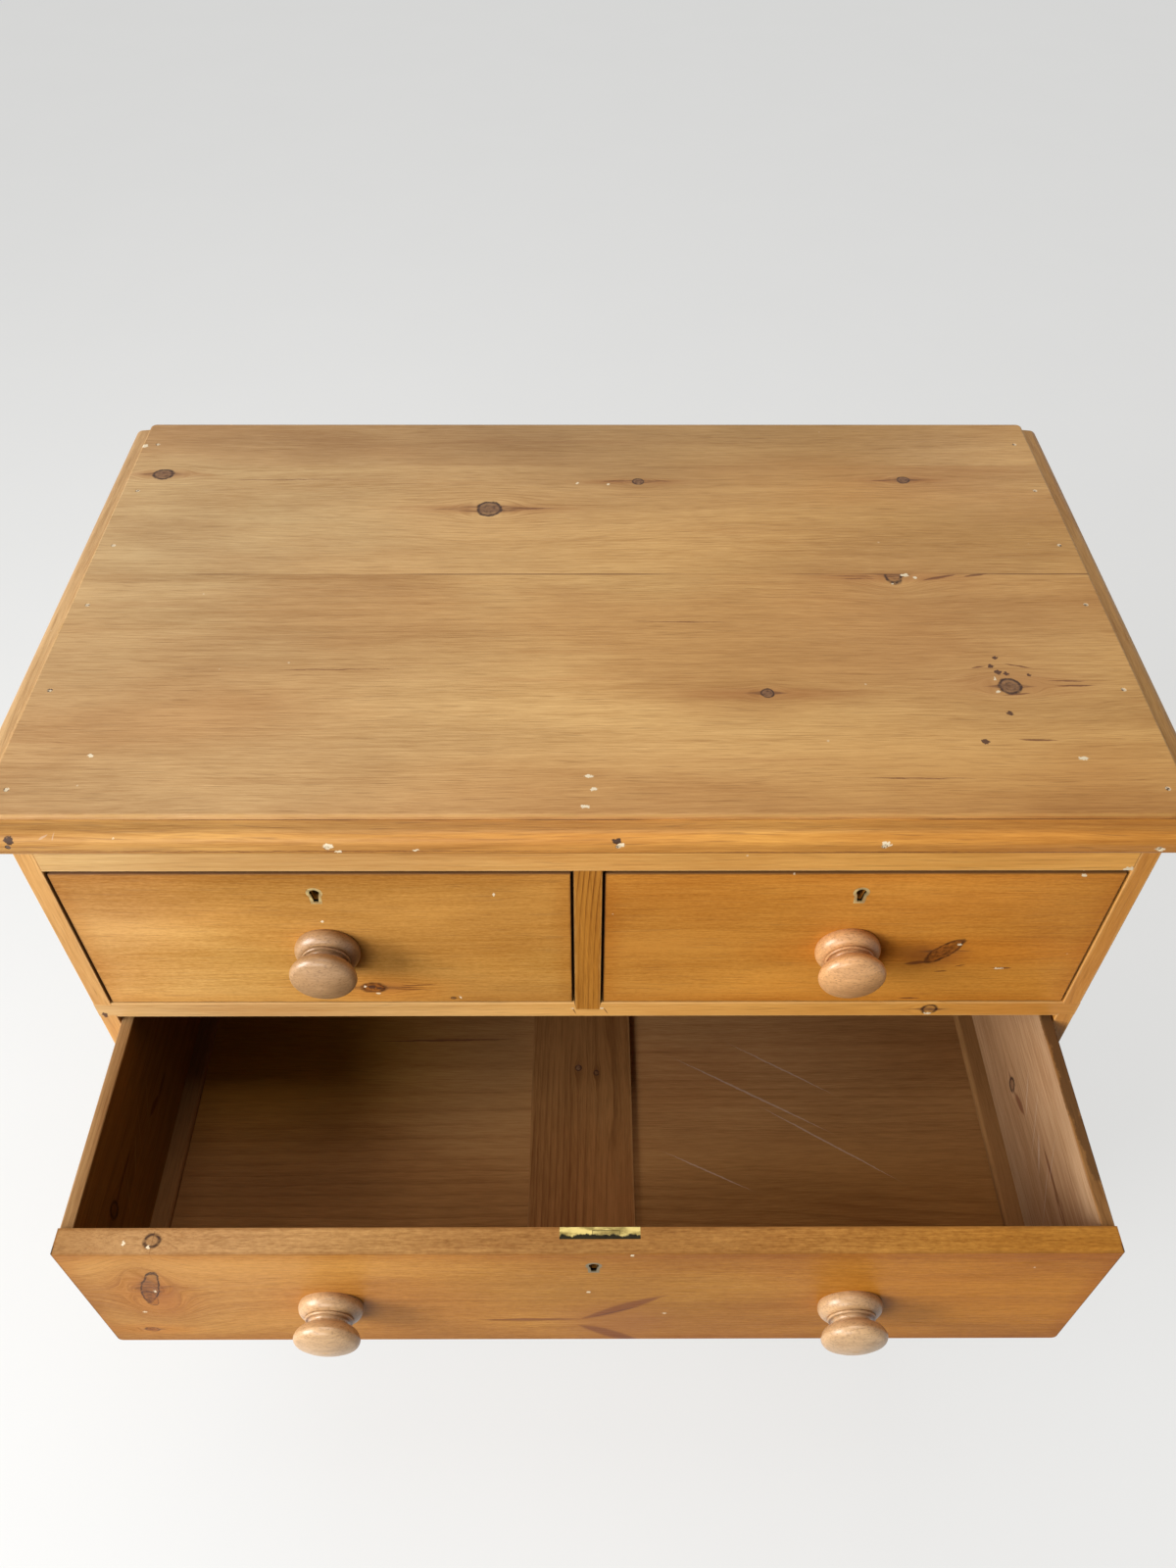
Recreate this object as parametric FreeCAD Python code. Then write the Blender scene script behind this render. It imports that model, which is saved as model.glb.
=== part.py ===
import FreeCAD, Part
import math
import os

os.makedirs("parts", exist_ok=True)

# Case, in millimetres. X runs left to right, Y from front to back, Z up from the floor.
case_width = 900.0
case_depth = 540.0
side_thickness = 16.0
bottom_thickness = 22.0
bottom_housing = 6.0
rail_thickness = 22.0
rail_depth = 70.0
rail_tail_depth = 30.0
rail_tail_shoulder = 3.0
rail_tail_flare = 2.0
top_rail_height = 54.0
top_rail_thickness = 22.0
top_rail_tenon = 8.0
tenon_shoulder = 6.0
short_opening = 191.0
long_opening_top = 203.0
long_opening_middle = 207.0
long_opening_bottom = 211.0
back_thickness = 10.0
back_rebate = 8.0
back_board_count = 5
back_board_gap = 0.8
case_edge_round = 0.8

# Divider between the short drawers, runners, kickers and stops
divider_width = 24.0
divider_depth = 60.0
divider_stub_drop = 11.0
divider_stub_depth = 22.0
divider_stub_taper = 1.5
guide_height = 20.0
runner_width = 30.0
runner_housing = 4.0
centre_runner_width = 70.0
stop_length = 40.0
stop_depth = 26.0
stop_height = 5.0
stop_inset = 100.0
stop_gap = 0.3

# Top boards and the moulding round them
top_thickness = 22.0
top_overhang = 8.0
top_back_overhang = 3.0
top_front_board = 293.0
top_middle_board = 178.0
top_edge_round = 2.5
top_corner_round = 22.0
top_back_corner_round = 6.0
moulding_quirk = 4.0
moulding_flat = 8.0
moulding_fall = 0.8
moulding_width = 18.0
moulding_nose = 10.5
moulding_face = 6.5
moulding_under = 4.0
moulding_fillet = 4.0
moulding_cove = 10.0
moulding_foot = 2.0
moulding_back_gap = 5.0

# Nails
nail_head_radius = 2.2
nail_head_height = 1.2
nail_shank_radius = 1.1
nail_length = 42.0
nail_sink = 0.3
nail_fit = 0.05
nails_in_front_board = 3
nails_in_middle_board = 2
nails_in_back_board = 1
top_nail_inset = 44.0
top_front_nail_inset = 27.0
front_nail_inset = 25.0
front_nail_drifts = [1.5, 22.0, 22.5, 4.5, -6.5]
front_nail_rises = [3.0, 1.7, 3.0, 3.0, 0.0]

# Feet
foot_height = 70.0
foot_belly_radius = 39.0
foot_sole_radius = 27.0
foot_neck_radius = 23.0
foot_collar_radius = 33.0
foot_collar_height = 9.0
foot_collar_bead = 3.0
foot_neck_length = 5.0
foot_spigot_radius = 12.5
foot_spigot_length = 17.0
foot_inset = 45.0
foot_fit = 0.1

# Drawers
drawer_side_gap = 1.5
drawer_top_gap = 4.5
drawer_runner_gap = 0.5
drawer_recess = 1.0
drawer_back_gap = 24.0
drawer_edge_round = 1.2
front_thickness = 22.0
front_edge_round = 1.2
front_corner_wear = 5.0
drawer_side_thickness = 11.0
drawer_side_lower = 3.0
drawer_back_thickness = 11.0
drawer_back_lower = 10.0
panel_lift = 9.0
panel_thickness = 8.0
panel_tongue = 6.0
slip_width = 18.0
slip_height = 24.0
slip_round = 4.0
muntin_width = 104.0
muntin_drift = -6.0
muntin_under = 4.0
muntin_over = 4.5
tail_count = 3
front_tail_length = 15.0
tail_share = 0.60
pin_share = 0.34
dovetail_slope = 0.16
long_drawer_open = 220.0

# Knobs
knob_drop = 8.0
knob_spread = 454.0
left_knob_drift = 4.5
knob_base_radius = 28.0
knob_base_length = 13.0
knob_base_edge = 6.5
knob_ring_radius = 21.0
knob_ring_length = 2.5
knob_ring_edge = 1.5
knob_neck_radius = 16.0
knob_neck_length = 4.5
knob_neck_flare = 2.5
knob_head_radius = 28.5
knob_head_length = 21.0
knob_head_rim = 7.0
knob_head_under = 3.0
knob_edge_ease = 1.0
knob_spigot_radius = 8.0
knob_fit = 0.1

# Locks
plate_length = 66.0
plate_width = 10.0
plate_thickness = 2.5
lock_length = 60.0
lock_depth = 9.0
lock_height = 38.0
lock_wall = 1.5
lock_pin_radius = 1.5
lock_from_keyhole = 5.0
bolt_from_keyhole = 10.0
bolt_width = 22.0
bolt_thickness = 3.0
bolt_shoulder = 5.0
bolt_shoulder_height = 8.0
bolt_throw = 9.0
bolt_below_plate = 0.4
bolt_notch_height = 5.0
bolt_notch_gap = 1.0
bolt_fit = 0.3
bolt_mortice_gap = 1.5
bolt_mortice_depth = 11.0
long_keyhole_offset = 4.5
keyhole_drop = 25.0
keyhole_radius = 4.2
keyhole_slot_half = 2.0
keyhole_slot_drop = 11.5
liner_wall = 2.6
liner_depth = 3.0

# Levels, from the floor up
bottom_level = foot_height + bottom_thickness
rail_lower_level = bottom_level + long_opening_bottom
rail_middle_level = rail_lower_level + rail_thickness + long_opening_middle
rail_upper_level = rail_middle_level + rail_thickness + long_opening_top
short_level = rail_upper_level + rail_thickness
top_rail_level = short_level + short_opening
case_top = top_rail_level + top_rail_height
overall_height = case_top + top_thickness

# Planes that several pieces share
half_width = case_width / 2
inside_half = half_width - side_thickness
back_plane = case_depth - back_thickness
top_half = half_width + top_overhang
top_front = -top_overhang
top_back = case_depth + top_back_overhang
first_joint = top_front + top_front_board
second_joint = first_joint + top_middle_board
board_edges = [top_front, first_joint, second_joint, top_back]
front_back_face = drawer_recess + front_thickness
drawer_end = back_plane - drawer_back_gap
knob_length = knob_base_length + knob_ring_length + knob_neck_length + knob_head_length
foremost = drawer_recess - long_drawer_open - knob_length
middle_of_depth = (foremost + top_back) / 2


def box(x0, x1, y0, y1, z0, z1):
    return Part.makeBox(x1 - x0, y1 - y0, z1 - z0, FreeCAD.Vector(x0, y0, z0))


def prism(points, direction):
    corners = [FreeCAD.Vector(*point) for point in points]
    outline = Part.makePolygon(corners + corners[:1])
    return Part.Face(outline).extrude(FreeCAD.Vector(*direction))


def mirrored(shape):
    return shape.mirror(FreeCAD.Vector(0, 0, 0), FreeCAD.Vector(1, 0, 0))


def round_edges(shape, radius, chosen):
    edges = [edge for edge in shape.Edges if chosen(edge.BoundBox)]
    return shape.makeFillet(radius, edges)


def flat(low, high):
    return abs(high - low) < 1e-6


def upright(b):
    return flat(b.XMin, b.XMax) and flat(b.YMin, b.YMax)


def arc(start, middle, end):
    points = [FreeCAD.Vector(*point) for point in (start, middle, end)]
    return Part.Arc(*points).toShape()


def line(start, end):
    return Part.makeLine(FreeCAD.Vector(*start), FreeCAD.Vector(*end))


def evenly(first, last, count):
    if count == 1:
        return [(first + last) / 2]
    step = (last - first) / (count - 1)
    return [first + step * number for number in range(count)]


def export(name, shapes):
    shape = shapes[0] if len(shapes) == 1 else Part.makeCompound(shapes)
    shape = shape.copy()
    shape.translate(FreeCAD.Vector(0, -middle_of_depth, 0))
    shape.exportStep("parts/" + name + ".step")


# Case

def rail_tail(level):
    # Seen from the front the tail widens towards the outside of the case.
    low = level + rail_tail_shoulder
    high = level + rail_thickness - rail_tail_shoulder
    points = [
        (inside_half, 0, low),
        (half_width, 0, low - rail_tail_flare),
        (half_width, 0, high + rail_tail_flare),
        (inside_half, 0, high),
    ]
    return prism(points, (0, rail_tail_depth, 0))


def bolt_mortice(keyhole_x, level):
    # The socket above a lock, in the underside of the rail.
    centre = keyhole_x + bolt_from_keyhole
    half = bolt_width / 2 + bolt_mortice_gap
    middle = front_back_face - lock_depth / 2
    deep = bolt_thickness / 2 + bolt_mortice_gap
    return box(centre - half, centre + half, middle - deep, middle + deep, level, level + bolt_mortice_depth)


def drawer_rail(level, keyhole_x):
    rail = box(-inside_half, inside_half, 0, rail_depth, level, level + rail_thickness)
    rail = round_edges(rail, case_edge_round, lambda b: b.YMax < 1e-6 and b.XLength > rail_depth)
    tail = rail_tail(level)
    rail = rail.fuse([tail, mirrored(tail)]).removeSplitter()
    return rail.cut(bolt_mortice(keyhole_x, level))


def divider_stub():
    # The divider's foot, let into the front of the upper rail.
    half = divider_width / 2
    low = half - divider_stub_taper
    points = [
        (-half, 0, short_level),
        (-low, 0, short_level - divider_stub_drop),
        (low, 0, short_level - divider_stub_drop),
        (half, 0, short_level),
    ]
    return prism(points, (0, divider_stub_depth, 0))


def divider_tenon():
    half = divider_width / 2 - tenon_shoulder
    front = tenon_shoulder
    back = top_rail_thickness - tenon_shoulder
    return box(-half, half, front, back, top_rail_level, top_rail_level + top_rail_tenon)


def centre_divider():
    half = divider_width / 2
    divider = box(-half, half, 0, divider_depth, short_level, top_rail_level)
    divider = round_edges(divider, case_edge_round, lambda b: b.YMax < 1e-6 and b.ZLength > divider_depth)
    return divider.fuse([divider_stub(), divider_tenon()]).removeSplitter()


def top_rail_end():
    low = top_rail_level + tenon_shoulder
    high = case_top - tenon_shoulder
    front = tenon_shoulder
    back = top_rail_thickness - tenon_shoulder
    return box(inside_half, inside_half + top_rail_tenon, front, back, low, high)


def top_rail():
    rail = box(-inside_half, inside_half, 0, top_rail_thickness, top_rail_level, case_top)
    rail = round_edges(rail, case_edge_round, lambda b: b.YMax < 1e-6 and b.ZMax < case_top and b.XLength > 1)
    tenon = top_rail_end()
    rail = rail.fuse([tenon, mirrored(tenon)]).removeSplitter()
    rail = rail.cut(divider_tenon())
    return rail.cut([bolt_mortice(x, top_rail_level) for x in short_keyholes])


def side_runner(level):
    outside = inside_half + runner_housing
    return box(inside_half - runner_width, outside, rail_depth, back_plane, level, level + rail_thickness)


def side_kicker():
    outside = inside_half + runner_housing
    high = top_rail_level + rail_thickness
    return box(inside_half - runner_width, outside, top_rail_thickness, back_plane, top_rail_level, high)


def runners_and_kickers():
    half = centre_runner_width / 2
    strips = [side_runner(level) for level in rail_levels] + [side_kicker()]
    strips += [mirrored(strip) for strip in strips]
    strips.append(box(-half, half, rail_depth, back_plane, rail_upper_level, short_level))
    high = top_rail_level + rail_thickness
    strips.append(box(-half, half, top_rail_thickness, back_plane, top_rail_level, high))
    return strips


def centre_guide():
    half = divider_width / 2
    return box(-half, half, divider_depth, back_plane, short_level, short_level + guide_height)


def case_side():
    side = box(inside_half, half_width, 0, case_depth, foot_height, case_top)
    side = round_edges(side, case_edge_round, lambda b: b.YMax < 1e-6 and b.ZLength > case_depth)
    housings = [
        box(inside_half, half_width - back_rebate, back_plane, case_depth, foot_height, case_top),
        box(inside_half, inside_half + bottom_housing, 0, back_plane, foot_height, bottom_level),
        top_rail_end(),
        side_kicker(),
    ]
    housings += [rail_tail(level) for level in rail_levels]
    housings += [side_runner(level) for level in rail_levels]
    return side.cut(housings)


def back_boards():
    left = -(half_width - back_rebate)
    width = -2 * left / back_board_count
    boards = []
    for number in range(back_board_count):
        start = left + number * width
        gap_before = back_board_gap / 2 if number > 0 else 0
        gap_after = back_board_gap / 2 if number < back_board_count - 1 else 0
        first = start + gap_before
        last = start + width - gap_after
        boards.append(box(first, last, back_plane, case_depth, foot_height, case_top))
    return boards


def foot_places():
    across = half_width - foot_inset
    return [(x, y) for x in (-across, across) for y in (foot_inset, case_depth - foot_inset)]


def bottom_board():
    half = inside_half + bottom_housing
    board = box(-half, half, 0, back_plane, foot_height, bottom_level)
    board = round_edges(board, case_edge_round, lambda b: b.YMax < 1e-6 and b.XLength > back_plane)
    radius = foot_spigot_radius + foot_fit
    holes = []
    for x, y in foot_places():
        place = FreeCAD.Vector(x, y, foot_height)
        holes.append(Part.makeCylinder(radius, foot_spigot_length + foot_fit, place))
    return board.cut(holes)


def foot(x, y):
    shoulder = foot_height - foot_collar_height
    neck = shoulder - foot_neck_length
    belly = neck / 2
    spigot_end = foot_height + foot_spigot_length
    collar_edge = foot_collar_radius - foot_collar_bead
    outline = [
        line((0, 0, 0), (foot_sole_radius, 0, 0)),
        arc((foot_sole_radius, 0, 0), (foot_belly_radius, 0, belly), (foot_neck_radius, 0, neck)),
        line((foot_neck_radius, 0, neck), (foot_neck_radius, 0, shoulder - 1)),
        line((foot_neck_radius, 0, shoulder - 1), (collar_edge, 0, shoulder)),
        arc(
            (collar_edge, 0, shoulder),
            (foot_collar_radius, 0, shoulder + foot_collar_height / 2),
            (collar_edge, 0, foot_height),
        ),
        line((collar_edge, 0, foot_height), (foot_spigot_radius, 0, foot_height)),
        line((foot_spigot_radius, 0, foot_height), (foot_spigot_radius, 0, spigot_end)),
        line((foot_spigot_radius, 0, spigot_end), (0, 0, spigot_end)),
        line((0, 0, spigot_end), (0, 0, 0)),
    ]
    face = Part.Face(Part.Wire(outline))
    turned = face.revolve(FreeCAD.Vector(0, 0, 0), FreeCAD.Vector(0, 0, 1), 360)
    turned.translate(FreeCAD.Vector(x, y, 0))
    return turned


def drawer_stops():
    # Two thin blocks behind each drawer front.
    front = front_back_face + stop_gap
    stops = []
    for drawer in drawers:
        reach = drawer["width"] / 2 - stop_inset
        for centre in (drawer["x"] - reach, drawer["x"] + reach):
            low = centre - stop_length / 2
            high = centre + stop_length / 2
            level = drawer["level"]
            stops.append(box(low, high, front, front + stop_depth, level, level + stop_height))
    return stops


# Top and moulding

def nail(x, y, z, axis, angle, hole):
    # Drawn head up and then turned. A hole is a little wider and goes on above the sunk head.
    loose = nail_fit if hole else 0
    above = 2 * nail_sink if hole else 0
    low = nail_head_height + loose
    head = Part.makeCylinder(nail_head_radius + loose, low + above, FreeCAD.Vector(0, 0, -low))
    low = nail_length + loose
    shank = Part.makeCylinder(nail_shank_radius + loose, low, FreeCAD.Vector(0, 0, -low))
    whole = head.fuse(shank).removeSplitter()
    whole.rotate(FreeCAD.Vector(0, 0, 0), FreeCAD.Vector(*axis), angle)
    whole.translate(FreeCAD.Vector(x, y, z))
    return whole


def board_nail_rows():
    # One row of nails for each board of the top, front to back.
    counts = [nails_in_front_board, nails_in_middle_board, nails_in_back_board]
    rows = []
    for number in range(3):
        first = board_edges[number] + (top_front_nail_inset if number == 0 else top_nail_inset)
        last = board_edges[number + 1] - top_nail_inset
        rows.append(evenly(first, last, counts[number]))
    return rows


def top_nails(hole):
    across = half_width - side_thickness / 2
    level = overall_height - nail_sink
    nails = []
    for row in board_nail_rows():
        for y in row:
            nails.append(nail(across, y, level, (1, 0, 0), 0, hole))
            nails.append(nail(-across, y, level, (1, 0, 0), 0, hole))
    return nails


def moulding_nails(hole):
    level = overall_height - moulding_quirk - moulding_nose - moulding_face / 2
    face = top_front - moulding_width + nail_sink
    outside = top_half + moulding_width - nail_sink
    nails = []
    # Driven by hand, so each one stands a little off its even place.
    end = top_half - front_nail_inset
    evenly_spaced = evenly(-end, end, len(front_nail_drifts))
    for x, drift, rise in zip(evenly_spaced, front_nail_drifts, front_nail_rises):
        nails.append(nail(x + drift, face, level + rise, (1, 0, 0), 90, hole))
    for row in board_nail_rows():
        for before, after in zip(row, row[1:]):
            y = (before + after) / 2
            nails.append(nail(outside, y, level, (0, 1, 0), 90, hole))
            nails.append(nail(-outside, y, level, (0, 1, 0), -90, hole))
    return nails


def top_boards(holes):
    edges = board_edges
    step = overall_height - moulding_quirk
    boards = []
    for number in range(3):
        low = box(-top_half, top_half, edges[number], edges[number + 1], case_top, step)
        high = box(-top_half, top_half, edges[number], edges[number + 1], step, overall_height)
        if number == 0:
            high = round_edges(high, top_corner_round, lambda b: upright(b) and flat(b.YMin, top_front))
        board = low.fuse(high).removeSplitter()
        if number == 2:
            board = round_edges(board, top_back_corner_round, lambda b: upright(b) and flat(b.YMin, top_back))
        board = round_edges(board, top_edge_round, on_rim)
        boards.append(board.cut(holes))
    return boards


def on_rim(b):
    # The upper edges of the top, but not those along a joint between boards.
    if b.ZMin < overall_height - 1e-4:
        return False
    along_joint = any(flat(b.YMin, y) and flat(b.YMax, y) for y in (first_joint, second_joint))
    return not along_joint


def moulding_outline(place):
    # Each point is a distance out from the edge of the top and a depth below its surface.
    nose_low = moulding_quirk + moulding_nose
    face_low = nose_low + moulding_face
    under = face_low + moulding_under
    cove_low = under + moulding_cove
    foot_low = cove_low + moulding_foot
    flat_drop = moulding_quirk + moulding_fall
    inner = -top_overhang
    cove_end = inner + moulding_foot
    cove_start = moulding_width - moulding_under - moulding_fillet
    nose_reach = moulding_width - moulding_flat
    cove_reach = cove_start - cove_end
    pieces = [
        line(place(0, moulding_quirk), place(moulding_flat, flat_drop)),
        arc(
            place(moulding_flat, flat_drop),
            place(moulding_flat + nose_reach * 0.72, flat_drop + moulding_nose * 0.27),
            place(moulding_width, nose_low),
        ),
        line(place(moulding_width, nose_low), place(moulding_width, face_low)),
        arc(
            place(moulding_width, face_low),
            place(moulding_width - moulding_under * 0.29, under - moulding_under * 0.29),
            place(moulding_width - moulding_under, under),
        ),
        line(place(moulding_width - moulding_under, under), place(cove_start, under)),
        arc(
            place(cove_start, under),
            place(cove_end + cove_reach * 0.4, under + moulding_cove * 0.4),
            place(cove_end, cove_low),
        ),
        line(place(cove_end, cove_low), place(cove_end, foot_low)),
        line(place(cove_end, foot_low), place(inner, foot_low)),
        line(place(inner, foot_low), place(inner, top_thickness)),
        line(place(inner, top_thickness), place(0, top_thickness)),
        line(place(0, top_thickness), place(0, moulding_quirk)),
    ]
    return Part.Face(Part.Wire(pieces))


def mitre_waste(keep_front):
    # Everything on the far side of the mitre at the right-hand front corner.
    reach = moulding_width + top_overhang + moulding_flat
    near = (top_half - reach, top_front + reach, 0)
    far = (top_half + reach, top_front - reach, 0)
    corner = (top_half + reach, top_front + reach, 0)
    if not keep_front:
        corner = (top_half - reach, top_front - reach, 0)
    return prism([near, far, corner], (0, 0, overall_height))


def moulding_front(holes):
    left = -top_half - moulding_width
    face = moulding_outline(lambda out, down: (left, top_front - out, overall_height - down))
    strip = face.extrude(FreeCAD.Vector(-2 * left, 0, 0))
    waste = mitre_waste(True)
    return strip.cut([waste, mirrored(waste)]).cut(holes)


def moulding_side(holes):
    start = top_front - moulding_width
    face = moulding_outline(lambda out, down: (top_half + out, start, overall_height - down))
    strip = face.extrude(FreeCAD.Vector(0, top_back - moulding_back_gap - start, 0))
    return strip.cut(mitre_waste(False)).cut(holes)


# Drawers

def tails(x0, x1, root, end, low, height):
    # Dovetails on a drawer side, wider at their ends.
    pitch = height / tail_count
    prisms = []
    for number in range(tail_count):
        middle = low + pitch * (number + 0.5)
        narrow = pitch * tail_share / 2
        wide = narrow + abs(root - end) * dovetail_slope
        points = [
            (x0, root, middle - narrow),
            (x0, end, middle - wide),
            (x0, end, middle + wide),
            (x0, root, middle + narrow),
        ]
        prisms.append(prism(points, (x1 - x0, 0, 0)))
    return prisms


def pins(x0, x1, root, end, low, height):
    # Pins on the drawer back, narrower at their ends, with a half pin at top and bottom.
    pitch = height / tail_count
    bounds = box(x0, x1, root, end, low, low + height)
    prisms = []
    for number in range(tail_count + 1):
        middle = low + pitch * number
        narrow = pitch * pin_share / 2
        wide = narrow + (end - root) * dovetail_slope
        points = [
            (x0, root, middle - wide),
            (x0, end, middle - narrow),
            (x0, end, middle + narrow),
            (x0, root, middle + wide),
        ]
        prisms.append(prism(points, (x1 - x0, 0, 0)).common(bounds))
    return prisms


def keyhole(x, z, radius, slot_half, slot_drop, start, length):
    hole = Part.makeCylinder(radius, length, FreeCAD.Vector(x, start, z), FreeCAD.Vector(0, 1, 0))
    low = z - slot_drop
    points = [
        (x - radius * 0.75, start, z - radius * 0.5),
        (x - slot_half, start, low),
        (x + slot_half, start, low),
        (x + radius * 0.75, start, z - radius * 0.5),
    ]
    return hole.fuse(prism(points, (0, length, 0))).removeSplitter()


def key_opening(drawer, start, length):
    x = drawer["keyhole"]
    z = drawer["top"] - keyhole_drop
    return keyhole(x, z, keyhole_radius, keyhole_slot_half, keyhole_slot_drop, start, length)


def liner_block(drawer):
    place = drawer["top"] - keyhole_drop
    radius = keyhole_radius + liner_wall
    slot_half = keyhole_slot_half + liner_wall
    slot_drop = keyhole_slot_drop + liner_wall
    return keyhole(drawer["keyhole"], place, radius, slot_half, slot_drop, drawer_recess, liner_depth)


def keyhole_liner(drawer):
    return liner_block(drawer).cut(key_opening(drawer, drawer_recess - 1, liner_depth + 2))


def lock_block(drawer):
    centre = drawer["keyhole"] + lock_from_keyhole
    plate_low = drawer["top"] - plate_thickness
    half = plate_length / 2
    face = front_back_face
    plate = box(centre - half, centre + half, face - plate_width, face, plate_low, drawer["top"])
    half = lock_length / 2
    body = box(centre - half, centre + half, face - lock_depth, face, plate_low - lock_height, plate_low)
    return plate.fuse(body).removeSplitter()


def lock_case(drawer):
    centre = drawer["keyhole"] + lock_from_keyhole
    plate_low = drawer["top"] - plate_thickness
    half = lock_length / 2 - lock_wall
    near = front_back_face - lock_depth + lock_wall
    far = front_back_face - lock_wall
    hollow = box(centre - half, centre + half, near, far, plate_low - lock_height + lock_wall, plate_low)
    bolt_x = drawer["keyhole"] + bolt_from_keyhole
    half = bolt_width / 2 + bolt_fit
    middle = front_back_face - lock_depth / 2
    deep = bolt_thickness / 2 + bolt_fit
    slot = box(bolt_x - half, bolt_x + half, middle - deep, middle + deep, plate_low, drawer["top"])
    way_in = key_opening(drawer, near - lock_wall, lock_wall)
    key_height = drawer["top"] - keyhole_drop
    place = FreeCAD.Vector(drawer["keyhole"], near - lock_wall, key_height)
    pin = Part.makeCylinder(lock_pin_radius, lock_depth - lock_wall, place, FreeCAD.Vector(0, 1, 0))
    return lock_block(drawer).cut([hollow, slot, way_in]).fuse(pin).removeSplitter()


def lock_bolt(drawer):
    centre = drawer["keyhole"] + bolt_from_keyhole
    middle = front_back_face - lock_depth / 2
    near = middle - bolt_thickness / 2
    far = middle + bolt_thickness / 2
    half = bolt_width / 2
    shoulder = drawer["top"] - plate_thickness - bolt_throw - bolt_fit
    low = shoulder - bolt_shoulder_height
    tongue = box(centre - half, centre + half, near, far, shoulder, drawer["top"] - bolt_below_plate)
    half = half + bolt_shoulder
    tail = box(centre - half, centre + half, near, far, low, shoulder)
    reach = keyhole_slot_half + bolt_notch_gap
    notch_left = drawer["keyhole"] - reach
    notch_right = drawer["keyhole"] + reach
    notch = box(notch_left, notch_right, near, far, low, low + bolt_notch_height)
    return tongue.fuse(tail).removeSplitter().cut(notch)


def knob_places(drawer):
    height = drawer["low"] + drawer["height"] / 2 - knob_drop
    return [(x, height) for x in drawer["knobs"]]


def knob(x, z):
    # Turned on an axis that runs out from the drawer front.
    ring_start = knob_base_length
    neck_start = ring_start + knob_ring_length
    head_start = neck_start + knob_neck_length
    widest = head_start + knob_head_length * 0.45
    tip = head_start + knob_head_length
    base_edge = knob_base_radius - knob_base_edge
    base_foot = knob_base_radius - knob_edge_ease
    ring_foot = knob_ring_radius - knob_edge_ease
    ring_edge = knob_ring_radius - knob_ring_edge
    neck_edge = knob_neck_radius + knob_neck_flare
    spigot_end = front_thickness
    # The rim of the head rolls over into a shallow round crown.
    roll = math.radians(67)
    rim = knob_head_radius - knob_head_rim * (1 - math.cos(roll))
    rim_out = widest + knob_head_rim * math.sin(roll)
    half_rim = knob_head_radius - knob_head_rim * (1 - math.cos(roll / 2))
    half_rim_out = widest + knob_head_rim * math.sin(roll / 2)
    rise = tip - rim_out
    crown = (rim * rim + rise * rise) / (2 * rise)
    half_turn = math.asin(rim / crown) / 2
    half_crown_out = tip - crown * (1 - math.cos(half_turn))
    outline = [
        line((0, spigot_end, 0), (knob_spigot_radius, spigot_end, 0)),
        line((knob_spigot_radius, spigot_end, 0), (knob_spigot_radius, 0, 0)),
        line((knob_spigot_radius, 0, 0), (base_foot, 0, 0)),
        arc(
            (base_foot, 0, 0),
            (knob_base_radius, -ring_start * 0.25, 0),
            (base_edge, -ring_start, 0),
        ),
        line((base_edge, -ring_start, 0), (ring_foot, -ring_start, 0)),
        arc(
            (ring_foot, -ring_start, 0),
            (knob_ring_radius, -ring_start - knob_ring_length / 2, 0),
            (ring_edge, -neck_start, 0),
        ),
        arc(
            (ring_edge, -neck_start, 0),
            (knob_neck_radius, -neck_start - knob_neck_length * 0.55, 0),
            (neck_edge, -head_start, 0),
        ),
        arc(
            (neck_edge, -head_start, 0),
            (knob_head_radius - knob_head_under, -head_start - knob_head_length * 0.17, 0),
            (knob_head_radius, -widest, 0),
        ),
        arc((knob_head_radius, -widest, 0), (half_rim, -half_rim_out, 0), (rim, -rim_out, 0)),
        arc((rim, -rim_out, 0), (crown * math.sin(half_turn), -half_crown_out, 0), (0, -tip, 0)),
        line((0, -tip, 0), (0, spigot_end, 0)),
    ]
    face = Part.Face(Part.Wire(outline))
    turned = face.revolve(FreeCAD.Vector(0, 0, 0), FreeCAD.Vector(0, 1, 0), 360)
    turned.translate(FreeCAD.Vector(x, drawer_recess, z))
    return turned


def drawer_front(drawer):
    half = drawer["width"] / 2
    left = drawer["x"] - half
    right = drawer["x"] + half
    front = box(left, right, drawer_recess, front_back_face, drawer["low"], drawer["top"])
    if drawer["long"]:
        # The lower corners of the long fronts are worn round.
        front = round_edges(
            front, front_corner_wear,
            lambda b: flat(b.XMin, b.XMax) and flat(b.ZMin, drawer["low"]) and flat(b.ZMax, drawer["low"]),
        )
    front = round_edges(front, front_edge_round, lambda b: b.YMax < drawer_recess + 1e-6)
    waste = front_tails(drawer)
    groove_low = drawer["low"] + panel_lift
    inner = half - drawer_side_thickness
    waste.append(box(
        drawer["x"] - inner, drawer["x"] + inner,
        front_back_face - panel_tongue, front_back_face,
        groove_low, groove_low + panel_thickness,
    ))
    waste.append(lock_block(drawer))
    waste.append(liner_block(drawer))
    waste.append(key_opening(drawer, drawer_recess, front_thickness))
    for x, z in knob_places(drawer):
        place = FreeCAD.Vector(x, drawer_recess, z)
        radius = knob_spigot_radius + knob_fit
        waste.append(Part.makeCylinder(radius, front_thickness, place, FreeCAD.Vector(0, 1, 0)))
    return front.cut(waste)


def front_tails(drawer):
    outer = drawer["x"] + drawer["width"] / 2
    inner = outer - drawer_side_thickness
    end = front_back_face - front_tail_length
    right = tails(inner, outer, front_back_face, end, drawer["low"], drawer["side_height"])
    shift = 2 * drawer["x"]
    left = [mirrored(tail) for tail in right]
    for tail in left:
        tail.translate(FreeCAD.Vector(shift, 0, 0))
    return right + left


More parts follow.
